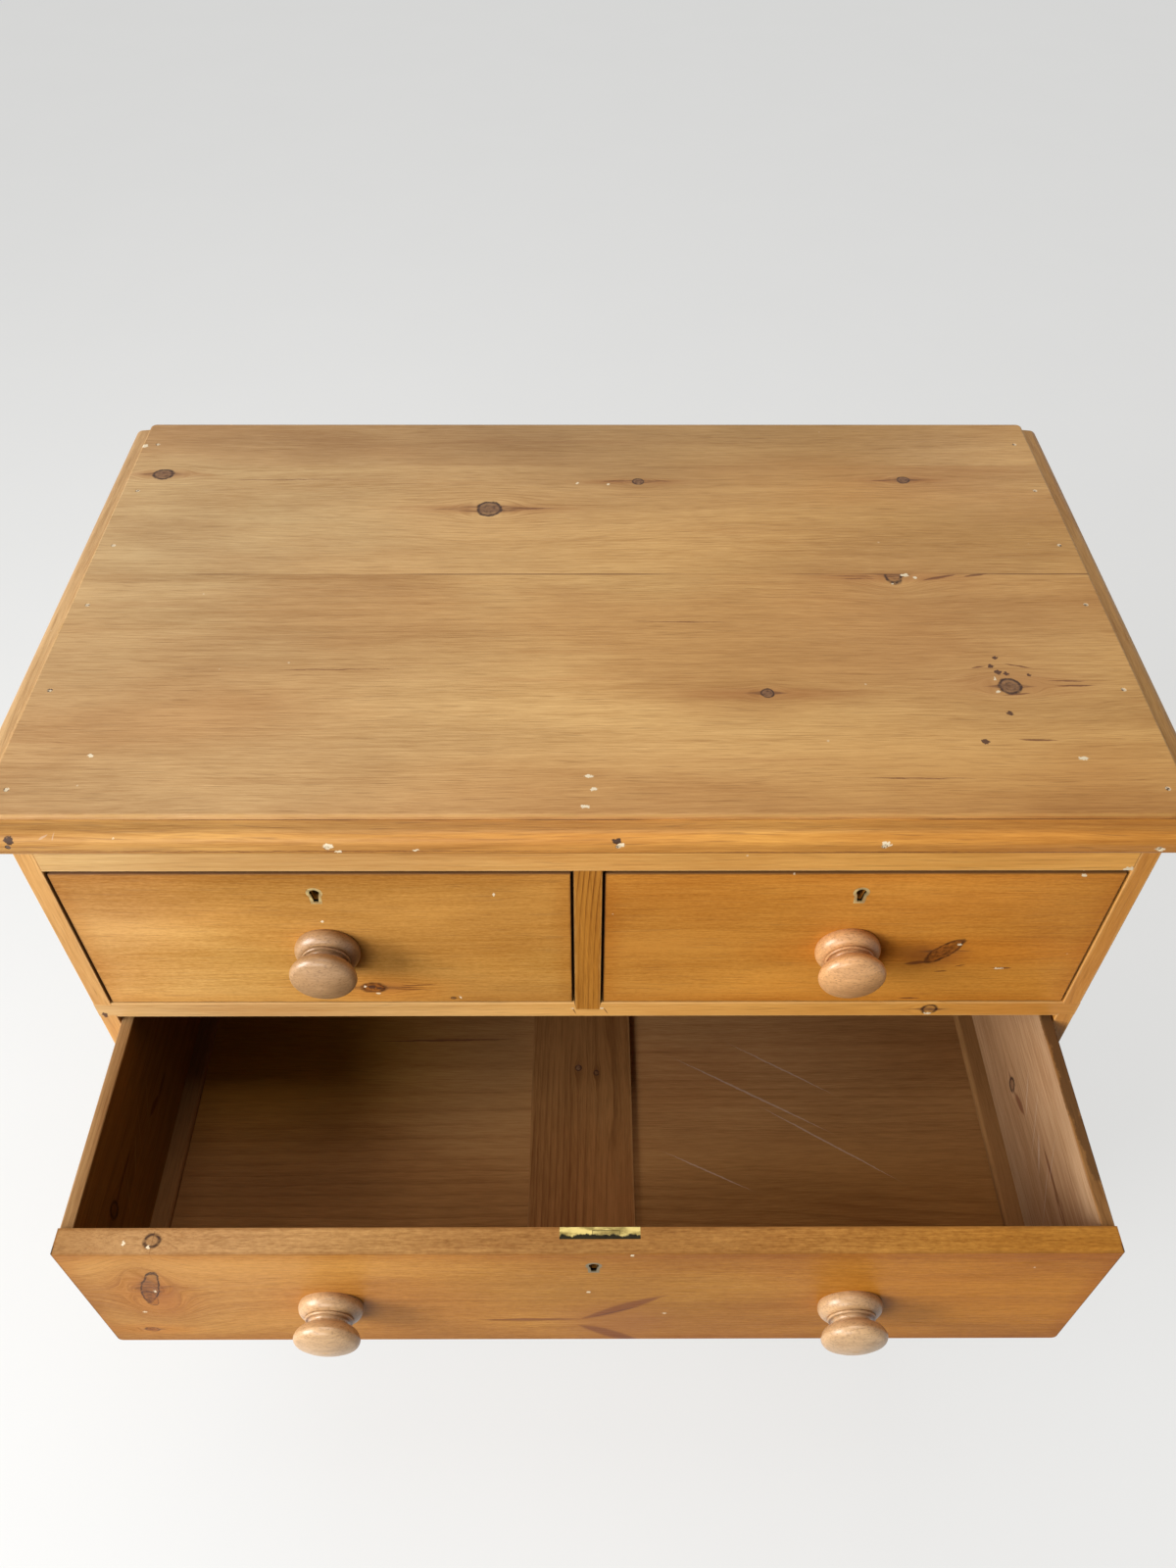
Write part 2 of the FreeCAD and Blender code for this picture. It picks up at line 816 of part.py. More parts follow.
def drawer_sides(drawer):
    low = drawer["low"]
    high = low + drawer["side_height"]
    back = drawer_end
    outer = drawer["width"] / 2
    inner = outer - drawer_side_thickness
    tail_sets = front_tails(drawer)
    sides = []
    for sign, its_tails in ((1, tail_sets[:tail_count]), (-1, tail_sets[tail_count:])):
        near = drawer["x"] + min(sign * inner, sign * outer)
        far = drawer["x"] + max(sign * inner, sign * outer)
        side = box(near, far, front_back_face, back, low, high)
        side = round_edges(side, drawer_edge_round, lambda b: b.ZMin > high - 1 and b.YLength > 1)
        side = side.fuse(its_tails).removeSplitter()
        start = back - drawer_back_thickness
        side = side.cut(pins(near, far, start, back, drawer["back_low"], drawer["back_height"]))
        sides.append(side)
    return sides


def drawer_back(drawer):
    back = drawer_end
    start = back - drawer_back_thickness
    outer = drawer["width"] / 2
    inner = outer - drawer_side_thickness
    low = drawer["back_low"]
    height = drawer["back_height"]
    board = box(drawer["x"] - inner, drawer["x"] + inner, start, back, low, low + height)
    board = round_edges(board, drawer_edge_round, lambda b: b.ZMin > low + 1 and b.XLength > 1)
    right = pins(drawer["x"] + inner, drawer["x"] + outer, start, back, low, height)
    left = pins(drawer["x"] - outer, drawer["x"] - inner, start, back, low, height)
    return board.fuse(right + left).removeSplitter()


def drawer_slips(drawer):
    # Grooved strips that carry the bottom and widen the running edge.
    low = drawer["low"]
    start = front_back_face
    end = drawer_end - drawer_back_thickness
    inner = drawer["width"] / 2 - drawer_side_thickness
    edge = inner - slip_width
    slip = box(edge, inner, start, end, low, low + slip_height)
    slip = round_edges(slip, slip_round, lambda b: flat(b.XMax, edge) and b.ZMin > low + 1)
    groove_low = low + panel_lift
    slip = slip.cut(box(edge, edge + panel_tongue, start, end, groove_low, groove_low + panel_thickness))
    other = mirrored(slip)
    for one in (slip, other):
        one.translate(FreeCAD.Vector(drawer["x"], 0, 0))
    return [slip, other]


def drawer_muntin(drawer):
    low = drawer["low"] + panel_lift
    high = low + panel_thickness
    half = muntin_width / 2
    start = front_back_face
    end = drawer_end
    step = end - drawer_back_thickness
    middle = drawer["x"] + muntin_drift
    body = box(middle - half, middle + half, start, step, low - muntin_under, high + muntin_over)
    tongue = box(middle - half, middle + half, start - panel_tongue, start, low, high)
    tail = box(middle - half, middle + half, step, end, low - muntin_under, high)
    groove = half - panel_tongue
    grooves = [
        box(middle - half, middle - groove, start - panel_tongue, end, low, high),
        box(middle + groove, middle + half, start - panel_tongue, end, low, high),
    ]
    return body.fuse([tongue, tail]).removeSplitter().cut(grooves)


def drawer_panels(drawer):
    low = drawer["low"] + panel_lift
    high = low + panel_thickness
    start = front_back_face - panel_tongue
    end = drawer_end
    reach = drawer["width"] / 2 - drawer_side_thickness - slip_width + panel_tongue
    middle = drawer["x"]
    if not drawer["long"]:
        return [box(middle - reach, middle + reach, start, end, low, high)]
    edge = muntin_width / 2 - panel_tongue
    seam = middle + muntin_drift
    left = box(middle - reach, seam - edge, start, end, low, high)
    right = box(seam + edge, middle + reach, start, end, low, high)
    return [left, right]


def drawer_sizes(name, x, opening_width, level, opening, keyhole_x, knobs, pulled):
    low = level + drawer_runner_gap
    height = opening - drawer_runner_gap - drawer_top_gap
    side_height = height - drawer_side_lower
    back_low = low + panel_lift + panel_thickness
    return {
        "name": name,
        "x": x,
        "width": opening_width - 2 * drawer_side_gap,
        "level": level,
        "low": low,
        "height": height,
        "top": low + height,
        "side_height": side_height,
        "back_low": back_low,
        "back_height": low + side_height - drawer_back_lower - back_low,
        "keyhole": keyhole_x,
        "knobs": knobs,
        "pulled": pulled,
        "long": len(knobs) > 1,
    }


def drawer_pieces(drawer):
    pieces = {
        "front": [drawer_front(drawer)],
        "sides": drawer_sides(drawer),
        "back": [drawer_back(drawer)],
        "bottom": drawer_panels(drawer),
        "slips": drawer_slips(drawer),
        "knobs": [knob(x, z) for x, z in knob_places(drawer)],
        "lock": [lock_case(drawer), keyhole_liner(drawer)],
        "lock_bolt": [lock_bolt(drawer)],
    }
    if drawer["long"]:
        pieces["muntin"] = [drawer_muntin(drawer)]
    return pieces


# The five drawers
rail_levels = [rail_lower_level, rail_middle_level, rail_upper_level]
short_width = inside_half - divider_width / 2
short_x = divider_width / 2 + short_width / 2
short_keyholes = [-short_x, short_x]
long_knobs = [-knob_spread / 2 + left_knob_drift, knob_spread / 2]
long_width = 2 * inside_half
drawers = [
    drawer_sizes("short_left", -short_x, short_width, short_level, short_opening, -short_x, [-short_x], 0),
    drawer_sizes("short_right", short_x, short_width, short_level, short_opening, short_x, [short_x], 0),
]
long_rows = [
    ("long_top", rail_middle_level + rail_thickness, long_opening_top, long_drawer_open),
    ("long_middle", rail_lower_level + rail_thickness, long_opening_middle, 0),
    ("long_bottom", bottom_level, long_opening_bottom, 0),
]
for row_name, row_level, row_opening, row_open in long_rows:
    drawers.append(drawer_sizes(
        row_name, 0, long_width, row_level, row_opening, long_keyhole_offset, long_knobs, row_open,
    ))

# Case pieces
right_side = case_side().cut(top_nails(True))
export("side_right", [right_side])
export("side_left", [mirrored(right_side)])
export("top_rail", [top_rail()])
upper_rail = drawer_rail(rail_upper_level, long_keyhole_offset).cut(divider_stub())
export("rail_upper", [upper_rail])
export("rail_middle", [drawer_rail(rail_middle_level, long_keyhole_offset)])
export("rail_lower", [drawer_rail(rail_lower_level, long_keyhole_offset)])
export("bottom_board", [bottom_board()])
export("centre_divider", [centre_divider()])
export("centre_guide", [centre_guide()])
export("runners_and_kickers", runners_and_kickers())
export("drawer_stops", drawer_stops())
export("back_boards", back_boards())
export("feet", [foot(x, y) for x, y in foot_places()])

# Top, moulding and nails
all_nails = top_nails(False) + moulding_nails(False)
all_holes = top_nails(True) + moulding_nails(True)
export("top_boards", top_boards(all_holes))
export("moulding_front", [moulding_front(all_holes)])
right_moulding = moulding_side(all_holes)
export("moulding_sides", [right_moulding, mirrored(right_moulding)])
export("nails", all_nails)

# Drawers, each drawn closed and then pulled out as far as it stands
for one_drawer in drawers:
    for piece_name, shapes in drawer_pieces(one_drawer).items():
        for piece in shapes:
            piece.translate(FreeCAD.Vector(0, -one_drawer["pulled"], 0))
        export(one_drawer["name"] + "_" + piece_name, shapes)

overall_width = 2 * (top_half + moulding_width)
print("overall height", overall_height, "depth", top_back - foremost, "width", overall_width)
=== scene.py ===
import bpy
import math
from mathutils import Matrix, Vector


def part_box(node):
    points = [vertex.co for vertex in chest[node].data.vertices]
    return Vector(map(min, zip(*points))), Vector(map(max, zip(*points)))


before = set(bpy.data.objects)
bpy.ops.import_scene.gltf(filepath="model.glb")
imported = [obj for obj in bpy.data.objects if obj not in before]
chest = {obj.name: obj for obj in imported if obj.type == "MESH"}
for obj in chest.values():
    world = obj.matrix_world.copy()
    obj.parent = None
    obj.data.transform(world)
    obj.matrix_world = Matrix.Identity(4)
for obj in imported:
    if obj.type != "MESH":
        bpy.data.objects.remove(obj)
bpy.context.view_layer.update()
studio = bpy.context.scene
print("chest loaded,", len(chest), "pieces")


# small helpers for building node trees
bench = None  # the node tree in hand, set by newGroup and startMaterial


def feed(socket, value):
    if isinstance(value, bpy.types.NodeSocket):
        bench.links.new(value, socket)
    else:
        socket.default_value = value


def put(kind, inputs=None, **settings):
    node = bench.nodes.new("ShaderNode" + kind)
    for key, value in settings.items():
        setattr(node, key, value)
    for key, value in (inputs or {}).items():
        feed(node.inputs[key], value)
    return node


def calc(operation, a, b=0.0, c=0.0, clamp=False):
    return put("Math", {0: a, 1: b, 2: c}, operation=operation, use_clamp=clamp).outputs[0]


def times(a, b):
    return calc("MULTIPLY", a, b)


def off(a, b):
    return calc("ABSOLUTE", calc("SUBTRACT", a, b))


def plus(base, value, share, clamp=False):
    return calc("MULTIPLY_ADD", value, share, base, clamp)


# adds a share of what a value between 0 and 1 swings about its middle
def sway(value, amount, base, clamp=False):
    return plus(base, calc("SUBTRACT", value, 0.5), amount, clamp)


def vecCalc(operation, a, b=(0, 0, 0)):
    return put("VectorMath", {0: a, 1: b}, operation=operation).outputs[0]


def join(*parts):
    return put("CombineXYZ", dict(enumerate(parts))).outputs[0]


def split(vector):
    return put("SeparateXYZ", {0: vector}).outputs


def here():
    return put("TexCoord").outputs["Object"]


def lengthOf(vector):
    return put("VectorMath", {0: vector}, operation="LENGTH").outputs["Value"]


# how far a place is from a centre, counted in sizes
def farFrom(place, centre, size):
    return lengthOf(vecCalc("DIVIDE", vecCalc("SUBTRACT", place, centre), size))


def fade(value, start, end, low=0.0, high=1.0):
    levels = {0: value, 1: start, 2: end, 3: low, 4: high}
    return put("MapRange", levels, interpolation_type="SMOOTHSTEP").outputs[0]


def blend(amount, a, b, mode="MIX"):
    return put("Mix", {0: amount, 6: a, 7: b}, data_type="RGBA", blend_type=mode).outputs[2]


def tinge(amount, colour, tone, mode="MIX"):
    return blend(amount, colour, (*tone, 1), mode)


def twoTones(amount, first, second):
    return blend(amount, (*first, 1), (*second, 1))


def ramp(value, stops):
    node = put("ValToRGB", {0: value})
    line = node.color_ramp.elements
    while len(line) < len(stops):
        line.new(0.5)
    for element, (place, shade) in zip(line, stops):
        element.position = place
        element.color = (shade, shade, shade, 1)
    return node.outputs[0]


def noise(vector, stretch, detail=2.0, rough=0.5):
    spot = vecCalc("MULTIPLY", vector, stretch)
    levels = {"Vector": spot, "Scale": 1.0, "Detail": detail, "Roughness": rough}
    return put("TexNoise", levels).outputs[0]


secondDraw = (5.2, 1.3, 8.1)  # where the second sample of a noise is taken


# shakes a place as much to one side as to the other
def unevenness(vector, stretch, amount, detail=3, rough=0.6):
    one = noise(vector, stretch, detail, rough)
    two = noise(vecCalc("ADD", vector, secondDraw), stretch, detail, rough)
    one, two = (times(calc("SUBTRACT", sample, 0.5), amount) for sample in (one, two))
    return join(one, two, two)


def newGroup(name, vectors, floats, outputs):
    global bench
    bench = group = bpy.data.node_groups.new(name, "ShaderNodeTree")
    sockets = ("INPUT", "Vector", vectors), ("INPUT", "Float", floats), ("OUTPUT", "Float", outputs)
    for way, kind, labels in sockets:
        for label in labels:
            group.interface.new_socket(name=label, in_out=way, socket_type="NodeSocket" + kind)
    return group, group.nodes.new("NodeGroupInput").outputs, group.nodes.new("NodeGroupOutput").inputs


def useGroup(group, inputs):
    node = bench.nodes.new("ShaderNodeGroup")
    node.node_tree = group
    for key, value in inputs.items():
        feed(node.inputs[key], value)
    return node.outputs


def startMaterial(name):
    global bench
    mat = bpy.data.materials.new(name)
    mat.use_nodes = True
    bench = mat.node_tree
    bench.nodes.clear()
    return mat


def surface(colour, rough, height, bumps, more=None):
    bump = put("Bump", {"Strength": bumps[0], "Distance": bumps[1], "Height": height}).outputs[0]
    wanted = {"Base Color": colour, "Roughness": rough, "Normal": bump, **(more or {})}
    put("OutputMaterial", {0: put("BsdfPrincipled", wanted).outputs[0]})


# layers of the figure: stretch, detail and roughness of the noise, then the levels it fades between
wavedLayers = {
    "Fibre": ((6, 150, 150), 3, 0.55), "Fine": ((42, 900, 900), 3, 0.65), "Cloud": ((2.2, 15, 15), 4, 0.55),
    "Pore": ((24, 620, 620), 2, 0.5, 0.55, 0.72), "Streak": ((3.2, 95, 95), 3, 0.6, 0.56, 0.74),
}
stillLayers = {"Tint": ((3, 7, 7), 3, 0.55), "Broad": ((2.4, 5.5, 5.5), 3, 0.5, 0.36, 0.64)}
# rings: how far the pith wanders, how rough a ring is, how far rings widen along the grain
ringWays = {"wave": 0.016, "wander": 0.055, "ragged": 0.003, "widen": 0.016}
# pale early wood darkens slowly, and the late wood ends sharply
ringStops = [(0.0, 0.05), (0.5, 0.14), (0.82, 0.75), (0.92, 1.0), (1.0, 0.05)]


# growth rings of a board: x runs along the grain, rings lie round a pith line
def makeFigure():
    group, given, result = newGroup(
        "pineFigure", ["Vector", "Pith"], ["Ring Width"], ["Ring", *wavedLayers, *stillLayers]
    )
    spot = given["Vector"]
    waved = vecCalc("ADD", spot, unevenness(spot, (3, 9, 9), ringWays["wave"], 2, 0.5))
    wander = unevenness(spot, (1.5, 5, 5), ringWays["wander"], 2, 0.5)
    parts = split(vecCalc("ADD", vecCalc("SUBTRACT", spot, given["Pith"]), wander))
    square = calc("ADD", calc("POWER", parts[1], 2.0), calc("POWER", parts[2], 2.0))
    ragged = noise(spot, (7, 70, 70), 2)
    radius = sway(ragged, ringWays["ragged"], calc("SQRT", square))
    radius = plus(radius, parts[0], ringWays["widen"])
    saw = calc("FRACT", calc("DIVIDE", radius, given["Ring Width"]))
    clear = fade(noise(spot, (2, 12, 12), 2), 0.3, 0.65, 0.35, 1.25)
    feed(result["Ring"], times(ramp(saw, ringStops), clear))
    for layers, place in ((wavedLayers, waved), (stillLayers, spot)):
        for label, (stretch, detail, rough, *levels) in layers.items():
            layer = noise(place, stretch, detail, rough)
            feed(result[label], fade(layer, *levels) if levels else layer)
    return group


knotParts = ("Heart", "Rim", "Resin", "Shift", "Near")
# a knot, counted in its own sizes: rings, ends of heart and rim, spread of the grain and of the dark wings
knotWays = {
    "rings": 15.0, "ringDepth": 0.16, "heartEnd": (1.06, 0.9), "rimAt": 0.94, "rimCore": 0.03,
    "flow": (0.38, 0.85, 1.0), "near": (3.6, 0.8), "wingCurve": 1.6, "wingWidth": 0.8, "wingSoft": 0.3,
}


# grain flows round a knot, which has a dark rim, a heart and dark wings along the grain
def makeKnot():
    group, given, result = newGroup(
        "pineKnot", ["Vector", "Uneven", "Centre", "Size"],
        ["Patchy", "Broken", "Turn", "Wing", "Fill", "Breadth", "Keep", *knotParts], knotParts,
    )
    keep, size = given["Keep"], given["Size"]
    away = vecCalc("SUBTRACT", given["Vector"], given["Centre"])
    turning = {"Vector": away, "Angle": given["Turn"]}
    turned = put("VectorRotate", turning, rotation_type="Z_AXIS").outputs[0]
    far = lengthOf(vecCalc("ADD", vecCalc("DIVIDE", turned, size), given["Uneven"]))
    wave = calc("COSINE", times(far, knotWays["rings"]))
    rings = plus(1 - knotWays["ringDepth"], wave, knotWays["ringDepth"])
    heart = times(times(fade(far, *knotWays["heartEnd"]), rings), given["Fill"])
    rim = fade(off(far, knotWays["rimAt"]), given["Breadth"], knotWays["rimCore"])
    rim = times(rim, given["Patchy"])
    # grain parts round the knot as water does round a post
    inSizes = vecCalc("DIVIDE", away, size)
    stretch = lengthOf(vecCalc("MULTIPLY", inSizes, knotWays["flow"]))
    push = calc("DIVIDE", split(away)[1], calc("MAXIMUM", calc("POWER", stretch, 2.0), 1.0))
    reach = split(inSizes)
    run = calc("DIVIDE", calc("ABSOLUTE", reach[0]), given["Wing"])
    taper = calc("POWER", calc("SUBTRACT", 1.0, run, clamp=True), knotWays["wingCurve"])
    taper = times(taper, knotWays["wingWidth"])
    wing = calc("SUBTRACT", taper, calc("ABSOLUTE", reach[1]))
    resin = times(fade(wing, 0.0, knotWays["wingSoft"]), given["Broken"])
    near = fade(stretch, *knotWays["near"])
    for label, mine in (("Heart", heart), ("Rim", rim), ("Resin", resin), ("Near", near)):
        feed(result[label], calc("MAXIMUM", given[label], times(mine, keep)))
    feed(result["Shift"], calc("SUBTRACT", given["Shift"], times(push, keep)))
    return group


# a thin lens of resin or a crack, lying nearly along the grain
def makeDash():
    group, given, result = newGroup(
        "resinDash", ["Vector", "Centre"], ["Half Length", "Half Width", "Slope", "Waver", "Mask"], ["Mask"]
    )
    away = split(vecCalc("SUBTRACT", given["Vector"], given["Centre"]))
    run = calc("DIVIDE", away[0], given["Half Length"])
    thick = calc("SUBTRACT", 1.0, calc("POWER", run, 2.0))
    aside = calc("SUBTRACT", away[1], times(away[0], given["Slope"]))
    aside = calc("ABSOLUTE", calc("ADD", given["Waver"], aside))
    lens = calc("SUBTRACT", thick, calc("DIVIDE", aside, given["Half Width"]))
    feed(result["Mask"], calc("MAXIMUM", given["Mask"], fade(lens, 0.0, 0.55)))
    return group


# an irregular dab, used for old filler, dents, stains and the painted shade in keyholes
def makeDab():
    group, given, result = newGroup("dab", ["Vector", "Centre", "Size"], ["Mask"], ["Mask"])
    far = farFrom(given["Vector"], given["Centre"], given["Size"])
    feed(result["Mask"], calc("MAXIMUM", given["Mask"], fade(far, 1.05, 0.75)))
    return group


# how near a point is to the arris of a board whose corners are known
def makeArris():
    group, given, result = newGroup("arris", ["Vector", "Low", "High"], [], ["Edge", "Rub"])
    spot = given["Vector"]
    down = vecCalc("SUBTRACT", spot, given["Low"])
    up = vecCalc("SUBTRACT", given["High"], spot)
    parts = split(vecCalc("MINIMUM", down, up))
    least = calc("MINIMUM", parts[0], parts[1])
    most = calc("MAXIMUM", parts[0], parts[1])
    second = calc("MAXIMUM", least, calc("MINIMUM", most, parts[2]))
    near = sway(noise(spot, (45, 45, 45), 3, 0.6), 0.004, second)
    feed(result["Edge"], fade(near, 0.0026, 0.0004))
    feed(result["Rub"], fade(near, 0.022, 0.002))
    return group


figure = makeFigure()
knotGroup = makeKnot()
dashGroup = makeDash()
dabGroup = makeDab()
arrisGroup = makeArris()
print("grain, knot, dab and arris groups ready")


# finishes: pale and deep wood, how strong rings, fibres and clouds show, and how strong the painted light
# from left to right is
plainPine = {"pore": 0.28, "edgeAmount": 0.4, "coat": 0.02, "broad": 0.7, "paintedSideLight": 0, "speck": 0,
             "tint": (0.88, 0.78, 0.7)}
waxedTop = {
    **plainPine, "pale": (0.6, 0.372, 0.16), "deep": (0.4, 0.218, 0.08), "red": (0.3, 0.115, 0.035),
    "tint": (0.84, 0.75, 0.68), "ring": 0.16, "fibre": 0.85, "fine": 1.7, "cloud": 1.6, "pore": 0.3,
    "streak": 0.16, "blush": 0.4, "edge": (0.4, 0.222, 0.064), "edgeAmount": 0.6, "rough": 0.46,
    "coat": 0.03, "gloss": 0.2, "bump": 0.15, "paintedSideLight": 0.7, "speck": 0.45,
}
waxedFront = {
    **plainPine, "pale": (0.6, 0.3, 0.072), "deep": (0.38, 0.16, 0.026), "red": (0.25, 0.07, 0.012),
    "tint": (0.86, 0.76, 0.66), "ring": 0.14, "fibre": 0.7, "fine": 1.2, "cloud": 1.7, "streak": 0.14,
    # the fronts' dark arrises are dirt with painted shade beside the gaps
    "grit": 1.1, "edge": (0.2, 0.08, 0.018), "edgeAmount": 0.55, "halo": 0.6, "rough": 0.48, "gloss": 0.1,
    "bump": 0.14, "broad": 0.9, "paintedSideLight": 1, "speck": 0.7,
}
waxedCase = {
    **plainPine, "pale": (0.72, 0.415, 0.138), "deep": (0.5, 0.243, 0.058), "red": (0.3, 0.09, 0.016),
    "ring": 0.2, "fibre": 0.9, "fine": 1.1, "cloud": 1, "streak": 0.18, "edge": (0.7, 0.43, 0.18),
    "edgeAmount": 0.35, "rough": 0.44, "gloss": 0.14, "bump": 0.14, "paintedSideLight": 1, "speck": 0.6,
}
waxedEdge = {
    **plainPine, "pale": (0.6, 0.315, 0.082), "deep": (0.36, 0.16, 0.032), "red": (0.26, 0.08, 0.014),
    "ring": 0.26, "fibre": 1.3, "fine": 1.4, "cloud": 0.9, "pore": 0.4, "streak": 0.26,
    "edge": (0.66, 0.37, 0.13), "rough": 0.42, "coat": 0.03, "gloss": 0.2, "bump": 0.16, "broad": 0.8,
    "paintedSideLight": 1, "speck": 0.6,
}
orangeDivider = {
    **plainPine, "sharp": 1.5, "pale": (0.595, 0.266, 0.043), "deep": (0.14, 0.04, 0.004),
    "red": (0.2, 0.06, 0.008), "tint": (0.92, 0.84, 0.74), "ring": 1, "fibre": 0.5, "fine": 0.6,
    "cloud": 0.3, "pore": 0.15, "streak": 0.15, "edge": (0.58, 0.31, 0.09), "rough": 0.44, "gloss": 0.12,
    "bump": 0.16, "broad": 0.3, "speck": 0.5,
}
bareInside = {
    **plainPine, "pale": (0.44, 0.28, 0.16), "deep": (0.28, 0.16, 0.078), "red": (0.16, 0.055, 0.018),
    "tint": (0.86, 0.76, 0.68), "ring": 0.3, "fibre": 1.5, "fine": 1.4, "cloud": 1.2, "pore": 0.4,
    "streak": 0.26, "edge": (0.44, 0.27, 0.14), "rough": 0.62, "coat": 0, "gloss": 0.06, "bump": 0.22,
}
barePanel = {
    **plainPine, "pale": (0.35, 0.175, 0.063), "deep": (0.21, 0.093, 0.029), "red": (0.14, 0.045, 0.012),
    "tint": (0.84, 0.76, 0.7), "ring": 0.3, "fibre": 0.5, "fine": 1.6, "cloud": 1.6, "pore": 0.3,
    "streak": 0.14, "edge": (0.38, 0.2, 0.075), "edgeAmount": 0.3, "rough": 0.6, "coat": 0, "gloss": 0.05,
    "bump": 0.2, "broad": 0.6,
}
bareBack = {
    **plainPine, "pale": (0.46, 0.3, 0.165), "deep": (0.3, 0.18, 0.088), "red": (0.18, 0.075, 0.03),
    "ring": 0.45, "fibre": 0.8, "fine": 1, "cloud": 0.9, "pore": 0.35, "streak": 0.25,
    "edge": (0.52, 0.36, 0.21), "rough": 0.68, "coat": 0, "gloss": 0.1, "bump": 0.25, "broad": 0.8,
}
# dark and pale tone of the heart, and how strong the rim is
knotKinds = {
    "knots": {"heart": ((0.075, 0.036, 0.021), (0.2, 0.105, 0.056)), "rim": 0.92},
    "redKnots": {"heart": ((0.07, 0.018, 0.004), (0.32, 0.098, 0.015)), "rim": 0.55},
}
tones = {
    "knotRim": (0.036, 0.016, 0.011), "wing": (0.14, 0.056, 0.023), "fillers": (0.74, 0.62, 0.43),
    "stains": (0.055, 0.025, 0.012), "pins": (0.085, 0.036, 0.02), "worn": (0.115, 0.055, 0.02),
    "joint": (0.13, 0.055, 0.02), "gapDirtAndShade": (0.03, 0.013, 0.006), "keyholeShade": (0.006, 0.004, 0.003),
    "pore": (0.2, 0.095, 0.032), "dashes": (0.13, 0.042, 0.018), "feathers": (0.17, 0.046, 0.012),
    "scuffs": (0.55, 0.46, 0.38), "blush": (0.3, 0.105, 0.03),
}
# what all pine has in common: tones that come over it, and how strong or how far each thing shows
ways = {
    "depth": 0.36, "ringsByKnots": 0.35, "tintShare": 0.9, "patchDark": (0.84, 0.81, 0.76),
    # the tones at the left and right ends of the painted light across the wood
    "patchPale": (1.12, 1.12, 1.08), "paintedLightLeft": (0.98, 1.02, 1.18), "paintedShadeRight": (1.04, 0.93, 0.68),
    "redGlow": (1, 0.8, 0.55), "glowShare": 0.6, "wingShare": 0.8, "heartShare": 0.9,
    "halo": (0.84, 0.72, 0.55), "shadeEnd": (1.3, 0.2), "blushEnd": (1.25, 0.2), "waver": 0.0022,
    "dabShake": 0.006, "jointEnd": (0.0012, 0.0003), "jointShare": 0.8, "gapDirtShadeDepth": 0.009,
    "gapDirtShadeFade": 0.003, "gapDirtShadeShare": 0.9, "specksPerMetre": 24, "specksLeft": 0.45,
    "speckEnd": (0.03, 0.018), "speckShake": 0.0022, "fineShine": 0.25, "ringShine": -0.05,
    "poreShine": 0.12, "ringRise": 0.35, "poreRise": -0.5, "rimRise": -0.6, "bumpReach": 0.0012,
    "coatRough": 0.28, "ior": 1.47,
}
treeStep = (0.731, 1.137, 0.417)  # from one piece's place in the tree to the next one's
boardStep = (1.37, 0.71)  # from one board to the next in a piece
usualPith, usualRing = (0, 0.03, 0.05), 0.0045
usualKnot = {"wing": 5, "turn": 0, "fill": 1, "rim": 0.2}
dashShares = {"feathers": 0.75, "dashes": 0.8, "scuffs": 0.3}
dabShares = {"worn": 0.85, "stains": 1, "keyholeShade": 1, "pins": 0.95, "fillers": 1}


# each knot is added to the masks of those before it
def chainKnots(spot, axes, ragged, knots):
    masks = None
    for knot in knots:
        knot = {**usualKnot, **knot}
        wanted = {
            **ragged, "Vector": spot, "Centre": knot["at"], "Size": knot["size"], "Wing": knot["wing"],
            "Turn": math.radians(knot["turn"]), "Fill": knot["fill"], "Breadth": knot["rim"], "Keep": 1,
        }
        if "before" in knot:
            letter, limit = knot["before"]
            wanted["Keep"] = calc("LESS_THAN", axes[letter], limit)
        if masks is not None:
            wanted.update({label: masks[label] for label in knotParts})
        masks = useGroup(knotGroup, wanted)
    return masks


# dashes and dabs are chained in the same way
def chainMarks(group, shared, rows):
    mask = None
    for row in rows:
        wanted = {**shared, **row}
        if mask is not None:
            wanted["Mask"] = mask
        mask = useGroup(group, wanted)["Mask"]
    return mask


def chainDashes(spot, waver, dashes):
    labels = ("Centre", "Half Length", "Half Width", "Slope")
    rows = [dict(zip(labels, row)) for row in dashes]
    return chainMarks(dashGroup, {"Vector": spot, "Waver": waver}, rows)


def chainDabs(shaken, dabs):
    rows = [{"Centre": centre, "Size": size} for centre, size in dabs]
    return chainMarks(dabGroup, {"Vector": shaken}, rows)


